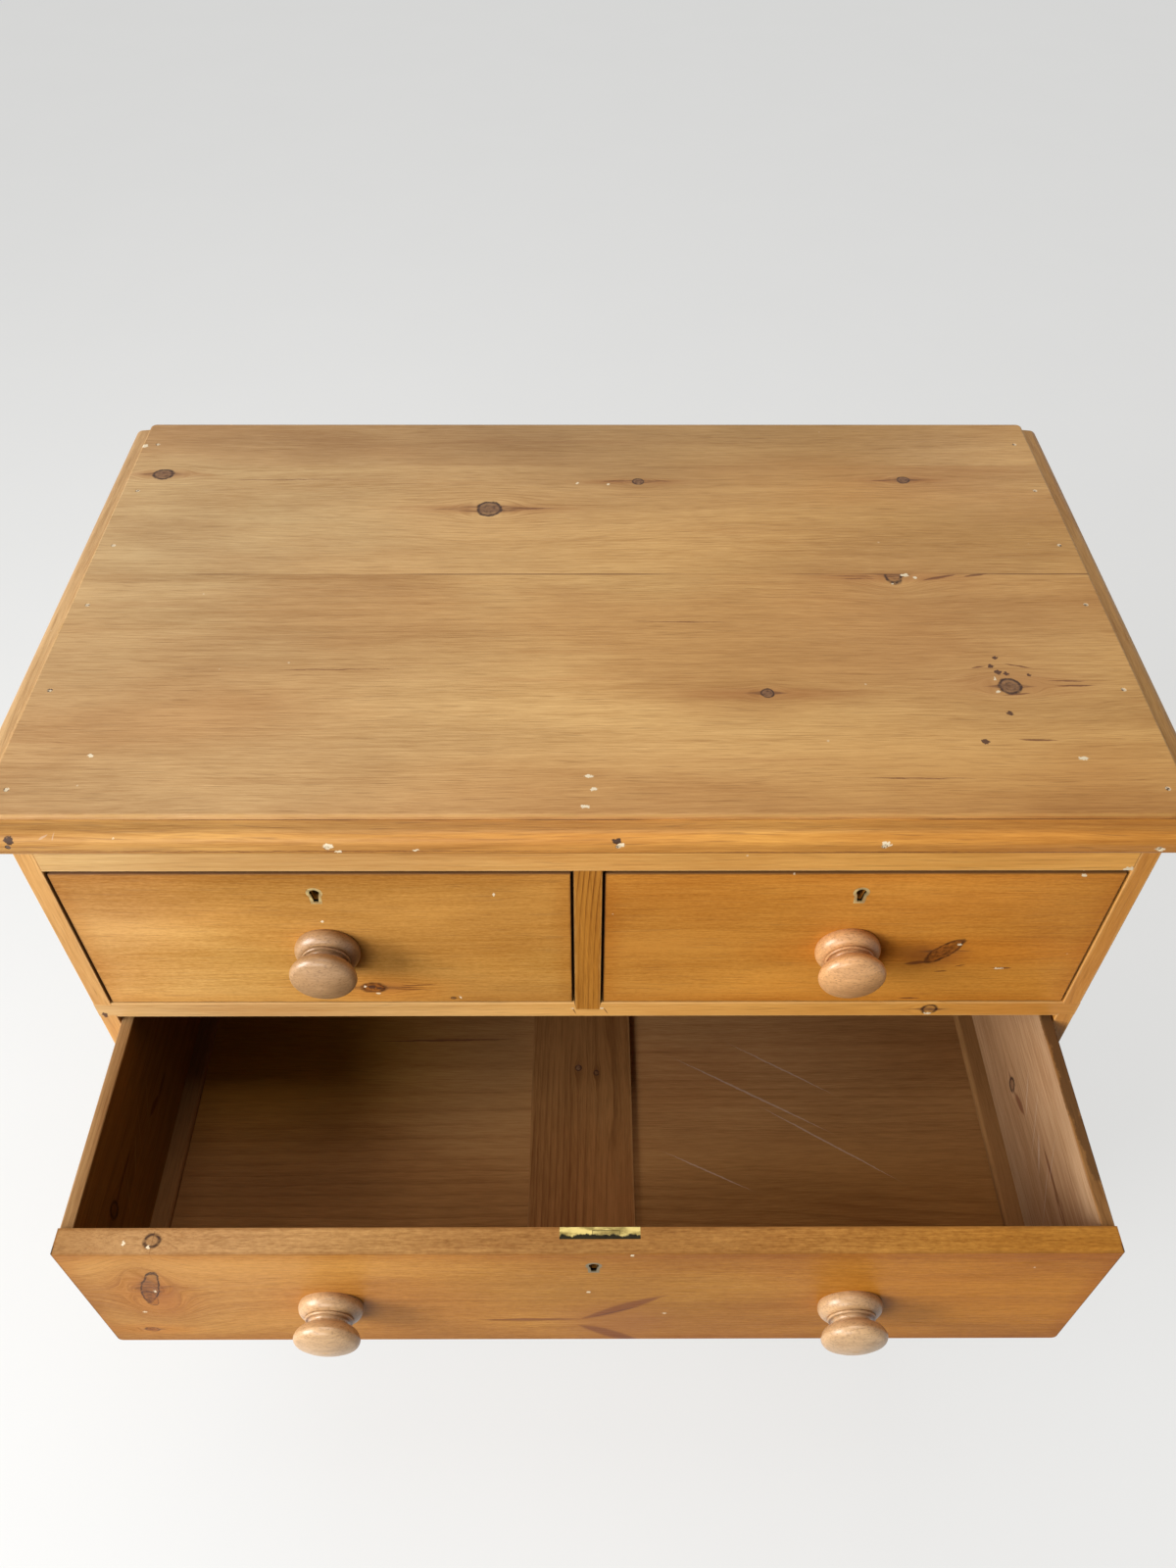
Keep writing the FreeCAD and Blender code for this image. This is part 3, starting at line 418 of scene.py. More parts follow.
# grain of one piece, its knots, and how deep the colour is
def growWood(spot, axes, finish, board):
    inTree = [board["seed"] * step for step in treeStep]
    shifted = vecCalc("ADD", spot, (inTree[0] + 2, *inTree[1:]))
    for letter, limit in board.get("splits", []):
        later = calc("GREATER_THAN", axes[letter], limit)
        shifted = vecCalc("ADD", shifted, join(*(times(later, step) for step in boardStep)))

    # knots come first, because the grain flows round them
    knots = {}
    shift = near = None
    if "knots" in board or "redKnots" in board:
        ragged = {
            "Uneven": unevenness(spot, (80, 80, 80), 0.55),
            "Patchy": fade(noise(spot, (260, 260, 260), 2), 0.3, 0.55, 0.45, 1),
            "Broken": fade(noise(spot, (40, 620, 620), 3, 0.6), 0.4, 0.58, 0.05, 1),
        }
        for kind in knotKinds:
            if kind in board:
                knots[kind] = chainKnots(spot, axes, ragged, board[kind])
    for masks in knots.values():
        shift = masks["Shift"] if shift is None else calc("ADD", shift, masks["Shift"])
        near = masks["Near"] if near is None else calc("MAXIMUM", near, masks["Near"])
    ringAmount = finish["ring"]
    if knots:
        shifted = vecCalc("ADD", shifted, join(0, shift))
        ringAmount = plus(finish["ring"], near, ways["ringsByKnots"])

    pith, middle = board.get("pith", usualPith), board["middle"]
    pith = (0, middle[1] + pith[1] + inTree[1], middle[2] - pith[2] + inTree[2])
    ringWidth = board.get("ringWidth", usualRing)
    wood = useGroup(figure, {"Vector": shifted, "Pith": pith, "Ring Width": ringWidth})
    rings = calc("POWER", wood["Ring"], finish["sharp"]) if "sharp" in finish else wood["Ring"]
    depth = plus(ways["depth"], rings, ringAmount)
    depth = sway(wood["Fibre"], finish["fibre"], depth)
    depth = sway(wood["Fine"], finish["fine"], depth)
    if "grit" in finish:
        depth = sway(noise(spot, (190, 520, 520), 2, 0.6), finish["grit"], depth)
    return wood, knots, sway(wood["Cloud"], finish["cloud"], depth, clamp=True)


# tints, streaks and broad patches over the bare wood, and painted light that runs from a pale, cool left to a
# deep, warm right
def tintWood(colour, wood, axes, finish):
    patchy = fade(wood["Tint"], 0.38, 0.66, 0, ways["tintShare"])
    colour = tinge(patchy, colour, finish["tint"], "MULTIPLY")
    colour = tinge(times(wood["Streak"], finish["streak"]), colour, finish["red"])
    patch = twoTones(wood["Broad"], ways["patchDark"], ways["patchPale"])
    colour = blend(finish["broad"], colour, patch, "MULTIPLY")
    colour = tinge(times(wood["Pore"], finish["pore"]), colour, tones["pore"])
    # painted light: paler and cooler at the left, deeper and warmer at the right
    if finish["paintedSideLight"] > 0:
        sideLight = twoTones(fade(axes["x"], -0.5, 0.5), ways["paintedLightLeft"], ways["paintedShadeRight"])
        colour = blend(finish["paintedSideLight"], colour, sideLight, "MULTIPLY")
    return colour


# soft patches of painted light and shade, partly the wood's own fading, red ones round the knots, resin and
# cracks, then the knots
def addKnots(colour, place, spot, knots, finish, board):
    # painted light and shade, and some fading, in soft patches
    for centre, size, tone in board.get("shades", []):
        colour = tinge(fade(farFrom(place, centre, size), *ways["shadeEnd"]), colour, tone, "MULTIPLY")
    for centre, size in board.get("blush", []):
        soft = fade(farFrom(place, centre, size), *ways["blushEnd"], 0, finish.get("blush", 0.5))
        colour = tinge(soft, colour, tones["blush"])
    for label, share in dashShares.items():
        if label in board:
            waver = calc("SUBTRACT", noise(spot, (90, 300, 300), 2, 0.6), 0.5)
            mask = chainDashes(spot, times(waver, ways["waver"]), board[label])
            colour = tinge(times(mask, share), colour, tones[label])
    mottle = fade(noise(spot, (240, 240, 240), 3, 0.6), 0.32, 0.66)
    for kind, masks in knots.items():
        heart = twoTones(mottle, *knotKinds[kind]["heart"])
        if kind == "redKnots":
            colour = tinge(times(masks["Near"], ways["glowShare"]), colour, ways["redGlow"], "MULTIPLY")
        colour = tinge(times(masks["Resin"], ways["wingShare"]), colour, tones["wing"])
        colour = blend(times(masks["Heart"], ways["heartShare"]), colour, heart)
        colour = tinge(times(masks["Rim"], knotKinds[kind]["rim"]), colour, tones["knotRim"])
    return colour


# rubbed arrises, dark on the fronts with dirt and painted shade; painted shade between two limits; waxed
# borders; and dirt with painted shade in the gaps
def wearWood(colour, place, axes, crown, finish, board):
    low, high = board["corners"]
    worn = useGroup(arrisGroup, {"Vector": place, "Low": low, "High": high})
    colour = tinge(times(worn["Edge"], finish["edgeAmount"]), colour, finish["edge"])
    darker = []
    # painted shade on a face between two limits
    if "dark" in board:
        letter, lower, upper, tone = board["dark"]
        above = calc("GREATER_THAN", axes[letter], lower)
        darker.append((times(calc("LESS_THAN", axes[letter], upper), above), tone))
    if "halo" in finish:
        darker.append((times(worn["Rub"], finish["halo"]), ways["halo"]))
    for mask, tone in darker:
        if crown is not None:
            mask = calc("SUBTRACT", mask, crown, clamp=True)
        colour = tinge(mask, colour, tone, "MULTIPLY")
    # dirt with painted shade in the gaps beside the faces
    if "grimyFaces" in board:
        deepest = low[1] + ways["gapDirtShadeDepth"]
        shallow = fade(axes["y"], deepest, deepest - ways["gapDirtShadeFade"], 0, ways["gapDirtShadeShare"])
        for letter, limit, reach in board["grimyFaces"]:
            gapDirtShadeMask = times(fade(off(axes[letter], limit), reach, reach * 0.5), shallow)
            colour = tinge(gapDirtShadeMask, colour, tones["gapDirtAndShade"])
    return colour


# glued joints that show here and there, dabs, and stray pinpricks of filler
def addDabs(colour, place, spot, axes, finish, board):
    for letter, limit in board.get("joints", []):
        line = fade(off(axes[letter], limit), *ways["jointEnd"])
        hair = times(line, fade(noise(spot, (9, 9, 9), 2), 0.34, 0.56))
        colour = tinge(times(hair, ways["jointShare"]), colour, tones["joint"])
    for label, share in dabShares.items():
        if label in board:
            shaken = vecCalc("ADD", place, unevenness(place, (330, 330, 330), ways["dabShake"]))
            mask = times(chainDabs(shaken, board[label]), share)
            colour = tinge(mask, colour, tones[label])
    if finish["speck"] > 0:
        shaken = vecCalc("ADD", place, unevenness(place, (400, 400, 400), ways["speckShake"]))
        cells = put("TexVoronoi", {"Vector": shaken, "Scale": ways["specksPerMetre"]}).outputs
        first = put("SeparateColor", {0: cells["Color"]}).outputs[0]
        chosen = calc("GREATER_THAN", first, ways["specksLeft"])
        speck = times(fade(cells["Distance"], *ways["speckEnd"]), chosen)
        colour = tinge(times(speck, finish["speck"]), colour, tones["fillers"])
    return colour


def pineMaterial(name, finish, board):
    mat = startMaterial(name)
    place = here()
    axes = dict(zip("xyz", split(place)))
    spot = join(*(axes[letter] for letter in board["grain"]))
    wood, knots, depth = growWood(spot, axes, finish, board)
    colour = twoTones(depth, finish["pale"], finish["deep"])
    crown = None
    if "crown" in board:  # a top edge of another tone than the faces
        limit, crownPale, crownDeep = board["crown"]
        crown = calc("GREATER_THAN", axes["z"], limit)
        colour = blend(crown, colour, twoTones(depth, crownPale, crownDeep))
    colour = tintWood(colour, wood, axes, finish)
    colour = addKnots(colour, place, spot, knots, finish, board)
    colour = wearWood(colour, place, axes, crown, finish, board)
    colour = addDabs(colour, place, spot, axes, finish, board)

    shine = sway(wood["Fine"], ways["fineShine"], finish["rough"])
    shine = plus(shine, wood["Ring"], ways["ringShine"])
    shine = plus(shine, wood["Pore"], ways["poreShine"], clamp=True)
    rise = plus(wood["Fine"], wood["Ring"], ways["ringRise"])
    rise = plus(rise, wood["Pore"], ways["poreRise"])
    for masks in knots.values():
        rise = plus(rise, masks["Rim"], ways["rimRise"])
    surface(colour, shine, rise, (finish["bump"], ways["bumpReach"]), {
        "Coat Weight": finish["coat"], "Coat Roughness": ways["coatRough"], "IOR": ways["ior"],
        "Specular IOR Level": finish["gloss"],
    })
    return mat


def dress(node, material):
    piece = chest[node]
    piece.data.materials.clear()
    piece.data.materials.append(material)


boardCount = 0


# one pine node: its corners set the arrises and the pith, the rest comes from its own dictionary
def dressPine(node, finish, grain, **board):
    global boardCount
    boardCount += 1
    low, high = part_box(node)
    middle = (low + high) / 2
    board["grain"] = grain
    board["seed"] = boardCount
    board["corners"] = tuple(low), tuple(high)
    board["middle"] = tuple(middle["xyz".index(letter)] for letter in grain)
    dress(node, pineMaterial(node + "Pine", finish, board))


# how deep each kind of mark goes
markDepth = {
    "knots": 9, "redKnots": 9, "fillers": 0.01, "pins": 0.01, "stains": 0.01, "blush": 0.02,
    "shades": 0.1,
}


# marks measured on one face are rows of place, half sizes and the rest, put on the face's plane here;
# rows with full places stay as they are
def onFace(look, level, upright, **ownDepth):
    depth = {**markDepth, **ownDepth}

    def full(row, third):
        return (row[0], third, row[1]) if upright else (row[0], row[1], third)

    def placed(label, row):
        if isinstance(row, dict) or isinstance(row[0], tuple):
            return row
        if label in dashShares:
            return ((*row[:2], level), *row[2:])
        if label in knotKinds:
            return {"at": (*row[:2], level), "size": (*row[2:4], depth[label]), **dict(*row[4:])}
        return (full(row[:2], level), full(row[2:4], depth[label]), *row[4:])

    flat = {*dashShares, *markDepth}
    return {
        label: [placed(label, row) for row in rows] if label in flat else rows for label, rows in look.items()
    }


# top: knots, pinholes, cracks and old filler, as (across, back)
topFace = 1.046
topLook = {
    "knots": [
        (-0.4233, 0.3062, 0.0105, 0.0085, {"wing": 4}), (-0.0948, 0.2463, 0.0115, 0.0125, {"wing": 7}),
        (0.0509, 0.2933, 0.0058, 0.0055, {"wing": 6.5}), (0.3148, 0.2957, 0.0062, 0.0055, {"wing": 6}),
        (0.2784, 0.1445, 0.008, 0.0145, {"wing": 4, "fill": 0.25, "rim": 0.28, "before": ("y", 0.1435)}),
        (0.1475, -0.0154, 0.0055, 0.0055), (0.3491, -0.0077, 0.0098, 0.0092, {"wing": 3, "turn": 25}),
    ],
    "pins": [
        (0.3446, 0.0279, 0.0026, 0.0022), (0.3384, 0.0171, 0.0024, 0.0024),
        (0.3432, 0.0096, 0.0032, 0.0032), (0.3495, 0.0076, 0.0024, 0.0028),
        (0.3681, 0.0066, 0.0022, 0.0022), (0.341, -0.04, 0.0028, 0.0026), (0.3143, -0.0722, 0.0036, 0.0034),
    ],
    "dashes": [
        (0.328, 0.0165, 0.0075, 0.0012, 0.2), (0.3616, 0.0177, 0.013, 0.0012, -0.25),
        (0.3563, -0.0703, 0.018, 0.0013, -0.03), (0.3982, -0.001, 0.019, 0.0012, -0.03),
        (0.4036, -0.0068, 0.02, 0.0012, 0.02), (0.3527, -0.0171, 0.014, 0.0012, 0.1),
        (0.3195, 0.1386, 0.0185, 0.0024, 0.25), (0.3535, 0.142, 0.013, 0.002, 0.2),
        (0.2421, 0.1405, 0.028, 0.001, -0.03), (0.247, 0.1369, 0.02, 0.0008, 0.02),
        (0.0274, 0.2942, 0.016, 0.0011, 0.04), (0.0725, 0.294, 0.014, 0.001, 0),
        (-0.0528, 0.2476, 0.03, 0.0011, 0), (0.2928, 0.2949, 0.012, 0.001, 0.02),
        (-0.2975, 0.297, 0.07, 0.0008, 0.01), (0.2562, -0.1117, 0.05, 0.0007, 0),
        (-0.2089, 0.0139, 0.06, 0.0007, 0.01), (0.0816, 0.0757, 0.05, 0.0007, -0.01),
    ],
    "splits": [("y", 0.1435), ("y", 0.3215)],
    "joints": [("y", 0.1435)],
    "fillers": [
        (-0.4547, 0.3586, 0.004, 0.003), (0.3867, -0.0903, 0.0042, 0.0018),
        (-0.3883, -0.0866, 0.0025, 0.0018), (0.0007, -0.1091, 0.004, 0.0018),
        (0.0043, -0.1224, 0.0035, 0.0018), ((-0.0025, -0.1405, 1.047), (0.004, 0.0018, 0.01)),
        (0.2888, 0.1418, 0.004, 0.0022), (0.2973, 0.1381, 0.0022, 0.0018), (0.3388, 0.0021, 0.0012, 0.0022),
        (0.3376, -0.0138, 0.0018, 0.0014), (-0.0098, 0.2902, 0.0018, 0.0014),
        (0.0209, 0.2886, 0.0016, 0.0012), (0.2759, 0.1288, 0.0014, 0.0016),
    ],
    "blush": [
        (-0.4233, 0.3062, 0.055, 0.01), (-0.0978, 0.2463, 0.095, 0.01), (0.0474, 0.2933, 0.07, 0.006),
        (0.3108, 0.2957, 0.06, 0.007), (0.2721, 0.1389, 0.1, 0.008), (0.1472, -0.0164, 0.09, 0.009),
        (0.3538, -0.0048, 0.08, 0.02),
    ],
    # painted light, sheen and shade over the top in soft patches, partly its own fading
    "shades": [
        (0.05, 0.4, 0.34, 0.16, (0.74, 0.74, 0.77)), (0, 0.05, 0.26, 0.17, (1.13, 1.17, 1.17)),
        (0.34, 0.06, 0.18, 0.14, (1.07, 1.1, 1.22)), (0.29, -0.14, 0.24, 0.08, (0.84, 0.77, 0.7)),
        (0, -0.14, 0.2, 0.08, (0.88, 0.82, 0.77)), (0.4, 0.33, 0.13, 0.11, (1, 1.05, 1.26)),
        (-0.34, 0.22, 0.17, 0.22, (1, 1.09, 1.17)),
    ],
    "ringWidth": 0.0052,
}
dressPine("top_boards", waxedTop, "xyz", pith=(0, 0.05, 0.09), **onFace(topLook, topFace, False, shades=0.5))
mouldingFace = -0.1675
mouldingLook = {
    "stains": [(-0.4296, 1.0369, 0.0036, 0.003), (0.021, 1.036, 0.0036, 0.002)],
    "fillers": [
        (-0.1941, 1.0317, 0.0048, 0.0024), (0.2219, 1.0329, 0.0038, 0.0032),
        (0.0245, 1.0328, 0.0034, 0.0022), (0.4281, 1.0277, 0.0046, 0.0024),
        (-0.129, 1.0277, 0.0024, 0.0014), (-0.1866, 1.0259, 0.0032, 0.0009),
    ],
    "scuffs": [(-0.4042, 1.0388, 0.004, 0.0009, 0.4), (-0.3968, 1.0388, 0.001, 0.0016, 2)],
    "dashes": [(-0.249, 1.0261, 0.3, 0.0007, 0), (0.2208, 1.0244, 0.28, 0.0007, 0)],
    "joints": [("y", -0.1497), ("z", 1.0222)],
    # painted shade along the quirk and towards the right end
    "shades": [
        ((0, -0.155, 1.042), (0.8, 0.009, 0.003), (0.82, 0.83, 0.84)),
        ((0.38, -0.16, 1.03), (0.22, 0.1, 0.1), (0.94, 0.88, 0.88)),
    ],
}
dressPine("moulding_front", waxedEdge, "xzy", ringWidth=0.004,
          **onFace(mouldingLook, mouldingFace, True, fillers=0.02, stains=0.02))
mouldingEnds = {**waxedTop, "ring": 0.2, "fibre": 1.2}
dressPine("moulding_sides", mouldingEnds, "yzx", ringWidth=0.004, splits=[("x", 0)])

# case: marks on the rails as (across, up)
railFace = -0.1415
railLook = {
    "top_rail": {
        "fillers": [(0.4299, 0.9717, 0.0045, 0.0035)],
        "joints": [("x", -0.434), ("x", 0.434)],
        # painted sheen at the left end of the top rail
        "shades": [(-0.3, 0.995, 0.36, 0.1, (1.05, 1.16, 1.34))],
    },
    "rail_upper": {
        "knots": [(0.3135, 0.768, 0.0068, 0.0068, {"wing": 4, "fill": 0.2, "rim": 0.34})],
        "dashes": [
            (-0.0124, 0.7662, 0.0024, 0.0022, -2.6), (0.0165, 0.7662, 0.0028, 0.0018, -2.2),
            (0.0011, 0.7688, 0.012, 0.001, 0),
        ],
        "fillers": [
            (0.313, 0.761, 0.0038, 0.0016), (-0.014, 0.7697, 0.0018, 0.0012),
            (0.0131, 0.7706, 0.0016, 0.001),
        ],
        "pins": [(-0.4448, 0.7603, 0.003, 0.0042)],
        # painted shade at the right and painted sheen at the left of the upper rail
        "shades": [(0.3, 0.768, 0.3, 0.1, (0.91, 0.88, 0.8)), (-0.32, 0.768, 0.26, 0.1, (0.9, 0.97, 1.16))],
    },
    "rail_middle": {},
    "rail_lower": {"knots": [{"at": (-0.21, 0.314, -0.1415), "size": (0.007, 0.006, 1)}]},
}
for rail, look in railLook.items():
    dressPine(rail, waxedCase, "xzy", **onFace(look, railFace, True))
sideLook = {
    "side_left": {
        "pith": (0, 0.1, 0.07),
        "pins": [((-0.4448, -0.1415, 0.7603), (0.003, 0.01, 0.0042))],
        # painted shade on the left side's front edge
        "shades": [((-0.447, -0.1415, 0.85), (0.04, 0.03, 0.6), (0.88, 0.81, 0.74))],
        "knots": [(0.82, 0.21, 0.014, 0.011), (0.43, -0.02, 0.011, 0.009), (0.24, 0.28, 0.01, 0.009)],
    },
    "side_right": {
        "pith": (0, -0.06, 0.07),
        # painted shade on the right side's front edge
        "shades": [((0.447, -0.1415, 0.85), (0.04, 0.03, 0.6), (0.84, 0.74, 0.62))],
        "knots": [(0.71, 0.09, 0.013, 0.011), (0.33, 0.25, 0.012, 0.01), (0.55, 0.34, 0.009, 0.008)],
    },
}
for side, look in sideLook.items():
    sideFace = 0.45 if side == "side_right" else -0.45
    dressPine(side, waxedCase, "zyx", **onFace(look, sideFace, False, knots=1))
# dirt with painted shade in the gaps each side of the divider
dressPine("centre_divider", orangeDivider, "zxy", ringWidth=0.0042, pith=(0, 0.06, 0.02),
          grimyFaces=[("x", -0.012, 0.0009), ("x", 0.012, 0.0009)])
dressPine("bottom_board", bareInside, "xyz")
dressPine("centre_guide", bareInside, "yxz")
dressPine("runners_and_kickers", bareInside, "yxz", splits=[("x", 0), ("z", 0.4), ("z", 0.6), ("z", 0.9)])
dressPine("drawer_stops", bareInside, "xyz")
backLook = {
    "pith": (0, 0.02, 0.06), "ringWidth": 0.006,
    "splits": [("x", -0.2652), ("x", -0.0884), ("x", 0.0884), ("x", 0.2652)],
    "knots": [
        (0.62, -0.33, 0.014, 0.012), (0.31, -0.02, 0.012, 0.01), (0.86, 0.13, 0.013, 0.01),
        (0.47, 0.36, 0.014, 0.012),
    ],
}
dressPine("back_boards", bareBack, "zxy", **onFace(backLook, 0.4, False, knots=1))
dressPine("feet", waxedEdge, "zxy", splits=[("x", 0), ("y", 0.1)])
print("case and top dressed")

# drawers: marks on the fronts as (across, up)
frontMarks = {
    "short_left": {
        "redKnots": [(-0.1914, 0.8032, 0.011, 0.0078, {"wing": 4.5, "rim": 0.3})],
        "knots": [(-0.1215, 0.7862, 0.0024, 0.002, {"wing": 3})],
        "dashes": [
            (-0.1509, 0.8069, 0.02, 0.0011, 0.06), (-0.1638, 0.803, 0.022, 0.0009, 0.02),
            (-0.1568, 0.8, 0.026, 0.0008, -0.03),
        ],
        # painted sheen at the left end of the front
        "shades": [(-0.42, 0.9, 0.12, 0.2, (1.1, 1.1, 1.3))],
        "blush": [(-0.1837, 0.8032, 0.034, 0.012)],
        "pins": [(-0.1932, 0.8039, 0.0035, 0.0028), (-0.1868, 0.8021, 0.0028, 0.0022)],
        "fillers": [
            (-0.189, 0.7937, 0.0022, 0.0012), (-0.1992, 0.8051, 0.001, 0.002),
            (-0.1153, 0.7876, 0.0014, 0.0018), (-0.0767, 0.9384, 0.0016, 0.0022),
            (-0.222, 0.9025, 0.0016, 0.0016),
        ],
    },
    "short_right": {
        "redKnots": [(0.308, 0.858, 0.0225, 0.0082, {"wing": 1.6, "turn": -52, "rim": 0.18})],
        # a paler patch, painted light and the front's own tone
        "shades": [(0.29, 0.94, 0.12, 0.07, (1.1, 1.1, 1.2))],
        "blush": [(0.3015, 0.8515, 0.034, 0.02)],
        "dashes": [
            (0.3111, 0.8278, 0.007, 0.0014, 0.1), (0.327, 0.8365, 0.0055, 0.0012, 0.3),
            (0.2875, 0.8411, 0.012, 0.0035, 0.15), (0.2916, 0.7849, 0.012, 0.0016, 0),
            (0.3644, 0.8327, 0.011, 0.0016, 0),
        ],
        "fillers": [
            (0.3194, 0.8682, 0.003, 0.0016), (0.3618, 0.8321, 0.0045, 0.001),
            (0.3982, 0.9631, 0.0022, 0.0018),
        ],
    },
    "long_top": {
        "knots": [
            (-0.3703, 0.682, 0.0074, 0.035, {"wing": 3, "turn": 16, "fill": 0.4, "rim": 0.14}),
            {"at": (-0.353, 0.7525, -0.3492), "size": (0.0062, 0.03, 0.0056), "wing": 0.05, "fill": 0.3,
             "rim": 0.42},
        ],
        "redKnots": [
            (-0.3941, 0.584, 0.0068, 0.005, {"wing": 3.5}),
            (-0.3758, 0.66, 0.0062, 0.018, {"wing": 0.5, "fill": 0.6, "rim": 0.05}),
        ],
        "feathers": [
            (0.0295, 0.6341, 0.042, 0.012, 0.76), (0.0206, 0.57, 0.034, 0.013, -0.74),
            (-0.0495, 0.6059, 0.055, 0.004, 0.02),
        ],
        # painted light and shade: deeper at the right end, a cool sheen at the left, lighter in the middle,
        # and along the top edge darker at the left and lighter at the right
        "shades": [
            (0.4, 0.66, 0.26, 0.16, (0.88, 0.8, 0.48)), (-0.34, 0.69, 0.16, 0.12, (1, 1.02, 1.25)),
            (0.02, 0.67, 0.17, 0.09, (0.96, 1.09, 1.14)),
            ((-0.36, -0.349, 0.7535), (0.4, 0.08, 0.004), (0.9, 0.87, 0.78)),
            ((0.36, -0.349, 0.7535), (0.4, 0.08, 0.004), (1.16, 1.17, 1.05)),
        ],
        "blush": [(-0.3664, 0.668, 0.018, 0.052), (0.0225, 0.602, 0.064, 0.052)],
        "crown": (0.7519, (0.49, 0.275, 0.098), (0.24, 0.11, 0.03)),
        "dashes": [(0.0245, 0.6247, 0.028, 0.0018, 0.62), (-0.3534, 0.685, 0.01, 0.0012, 0)],
        "fillers": [
            (0.0355, 0.7489, 0.0016, 0.0018), (0.0004, 0.6707, 0.002, 0.0018),
            (0.0671, 0.6201, 0.002, 0.0018), (-0.3684, 0.675, 0.0012, 0.0026),
            (-0.3893, 0.6265, 0.002, 0.0014), ((-0.356, -0.354, 0.7525), (0.002, 0.0012, 0.01)),
            ((-0.376, -0.351, 0.7525), (0.001, 0.0028, 0.01)),
        ],
    },
    "long_middle": {
        "knots": [(0.31, 0.46, 0.01, 0.009), (-0.12, 0.37, 0.006, 0.0055)],
        "redKnots": [(-0.33, 0.45, 0.0085, 0.007, {"wing": 4})],
    },
    "long_bottom": {
        "knots": [(-0.3, 0.23, 0.011, 0.0095)],
        "redKnots": [(0.15, 0.14, 0.015, 0.0065, {"wing": 2.5, "turn": 30})],
        "feathers": [(0.34, 0.21, 0.045, 0.008, 0.5)],
    },
}
muntinPine = {
    **barePanel, "pale": (0.29, 0.13, 0.042), "deep": (0.15, 0.058, 0.016), "fibre": 1.3, "ring": 0.5,
}
slipPine = {**barePanel, "pale": (0.25, 0.122, 0.044), "deep": (0.15, 0.066, 0.021), "edgeAmount": 0}
# fronts are not all of one tree; their tones also hold painted light, the short fronts paler against the
# moulding's shade, the long one deeper
frontToneAndLight = {
    "short_left": {"pale": (0.64, 0.355, 0.094), "deep": (0.4, 0.19, 0.034)},
    "short_right": {"pale": (0.67, 0.33, 0.07), "deep": (0.43, 0.174, 0.024)},
    "long_top": {"pale": (0.53, 0.248, 0.05), "deep": (0.32, 0.124, 0.017), "gloss": 0.08},
}
# the open drawer: only the left side's inner face has painted shade, the right side is worn on top and
# scraped inside
sideMarks = {
    "long_top": {
        "knots": [
            {"at": (-0.1479, 0.64, 0.427), "size": (0.0068, 0.0076, 0.02), "fill": 0.4, "rim": 0.4},
            {"at": (-0.2892, 0.6743, -0.427), "size": (0.0075, 0.01, 0.02), "wing": 6, "fill": 0.5,
             "rim": 0.34},
        ],
        "dashes": [
            ((-0.172, 0.646, 0.4215), 0.016, 0.006, -0.25), ((-0.255, 0.675, -0.4215), 0.03, 0.003, 0),
        ],
        # painted shade on the left side's inner face
        "dark": ("x", -0.4225, 0, (0.54, 0.38, 0.14)),
        "crown": (0.7485, (0.36, 0.205, 0.086), (0.2, 0.098, 0.034)),
        "shades": [((0.427, -0.2, 0.7495), (0.03, 0.26, 0.004), (0.7, 0.6, 0.48))],
        "worn": [
            ((0.427, -0.15, 0.7495), (0.0075, 0.024, 0.004)),
            ((0.4285, -0.185, 0.7495), (0.0065, 0.026, 0.004)),
            ((0.4265, -0.222, 0.7495), (0.007, 0.026, 0.004)),
            ((0.4285, -0.255, 0.7495), (0.006, 0.022, 0.004)),
            ((0.4295, -0.283, 0.7495), (0.005, 0.018, 0.004)),
        ],
        "scuffs": [
            ((-0.176, 0.669, 0.4215), 0.02, 0.0016, 1.2), ((-0.205, 0.67, 0.4215), 0.024, 0.0014, 1.5),
            ((-0.23, 0.66, 0.4215), 0.018, 0.003, 0.9), ((-0.252, 0.6819, 0.4215), 0.016, 0.0014, 1.7),
            ((-0.265, 0.65, 0.4215), 0.022, 0.0015, 1.4),
        ],
    },
}
# dark resin in the left panel, pale rubs on the right one, as (across, back)
panelFace = 0.5715
panelMarks = {
    "long_top": {
        "dashes": [(-0.1506, -0.0552, 0.087, 0.0016, 0.015)],
        # painted light deep on the right, painted shade at the front, and deeper, browner painted shade at
        # the back left
        "shades": [
            (0.3, -0.26, 0.3, 0.1, (0.8, 0.76, 0.6)), (0.14, -0.06, 0.2, 0.1, (1.27, 1.32, 1.48)),
            (-0.22, -0.28, 0.24, 0.1, (0.87, 0.88, 0.85)), (-0.34, -0.06, 0.2, 0.13, (1.25, 1.14, 0.45)),
        ],
        "scuffs": [
            (0.17, -0.12, 0.09, 0.0016, -0.55), (0.245, -0.175, 0.075, 0.0014, -0.62),
            (0.12, -0.205, 0.05, 0.0012, -0.48), (0.205, -0.09, 0.06, 0.0013, -0.58),
        ],
    },
}
shutCrown = (0.22, 0.125, 0.062), (0.12, 0.062, 0.03)  # top edges of the shut drawers, pale and deep
crownDepth = 0.0006
keyholeShade = {"in": 0.022, "drop": 0.027, "size": (0.022, 0.019, 0.018)}  # painted shade, black, in the keyhole through the front
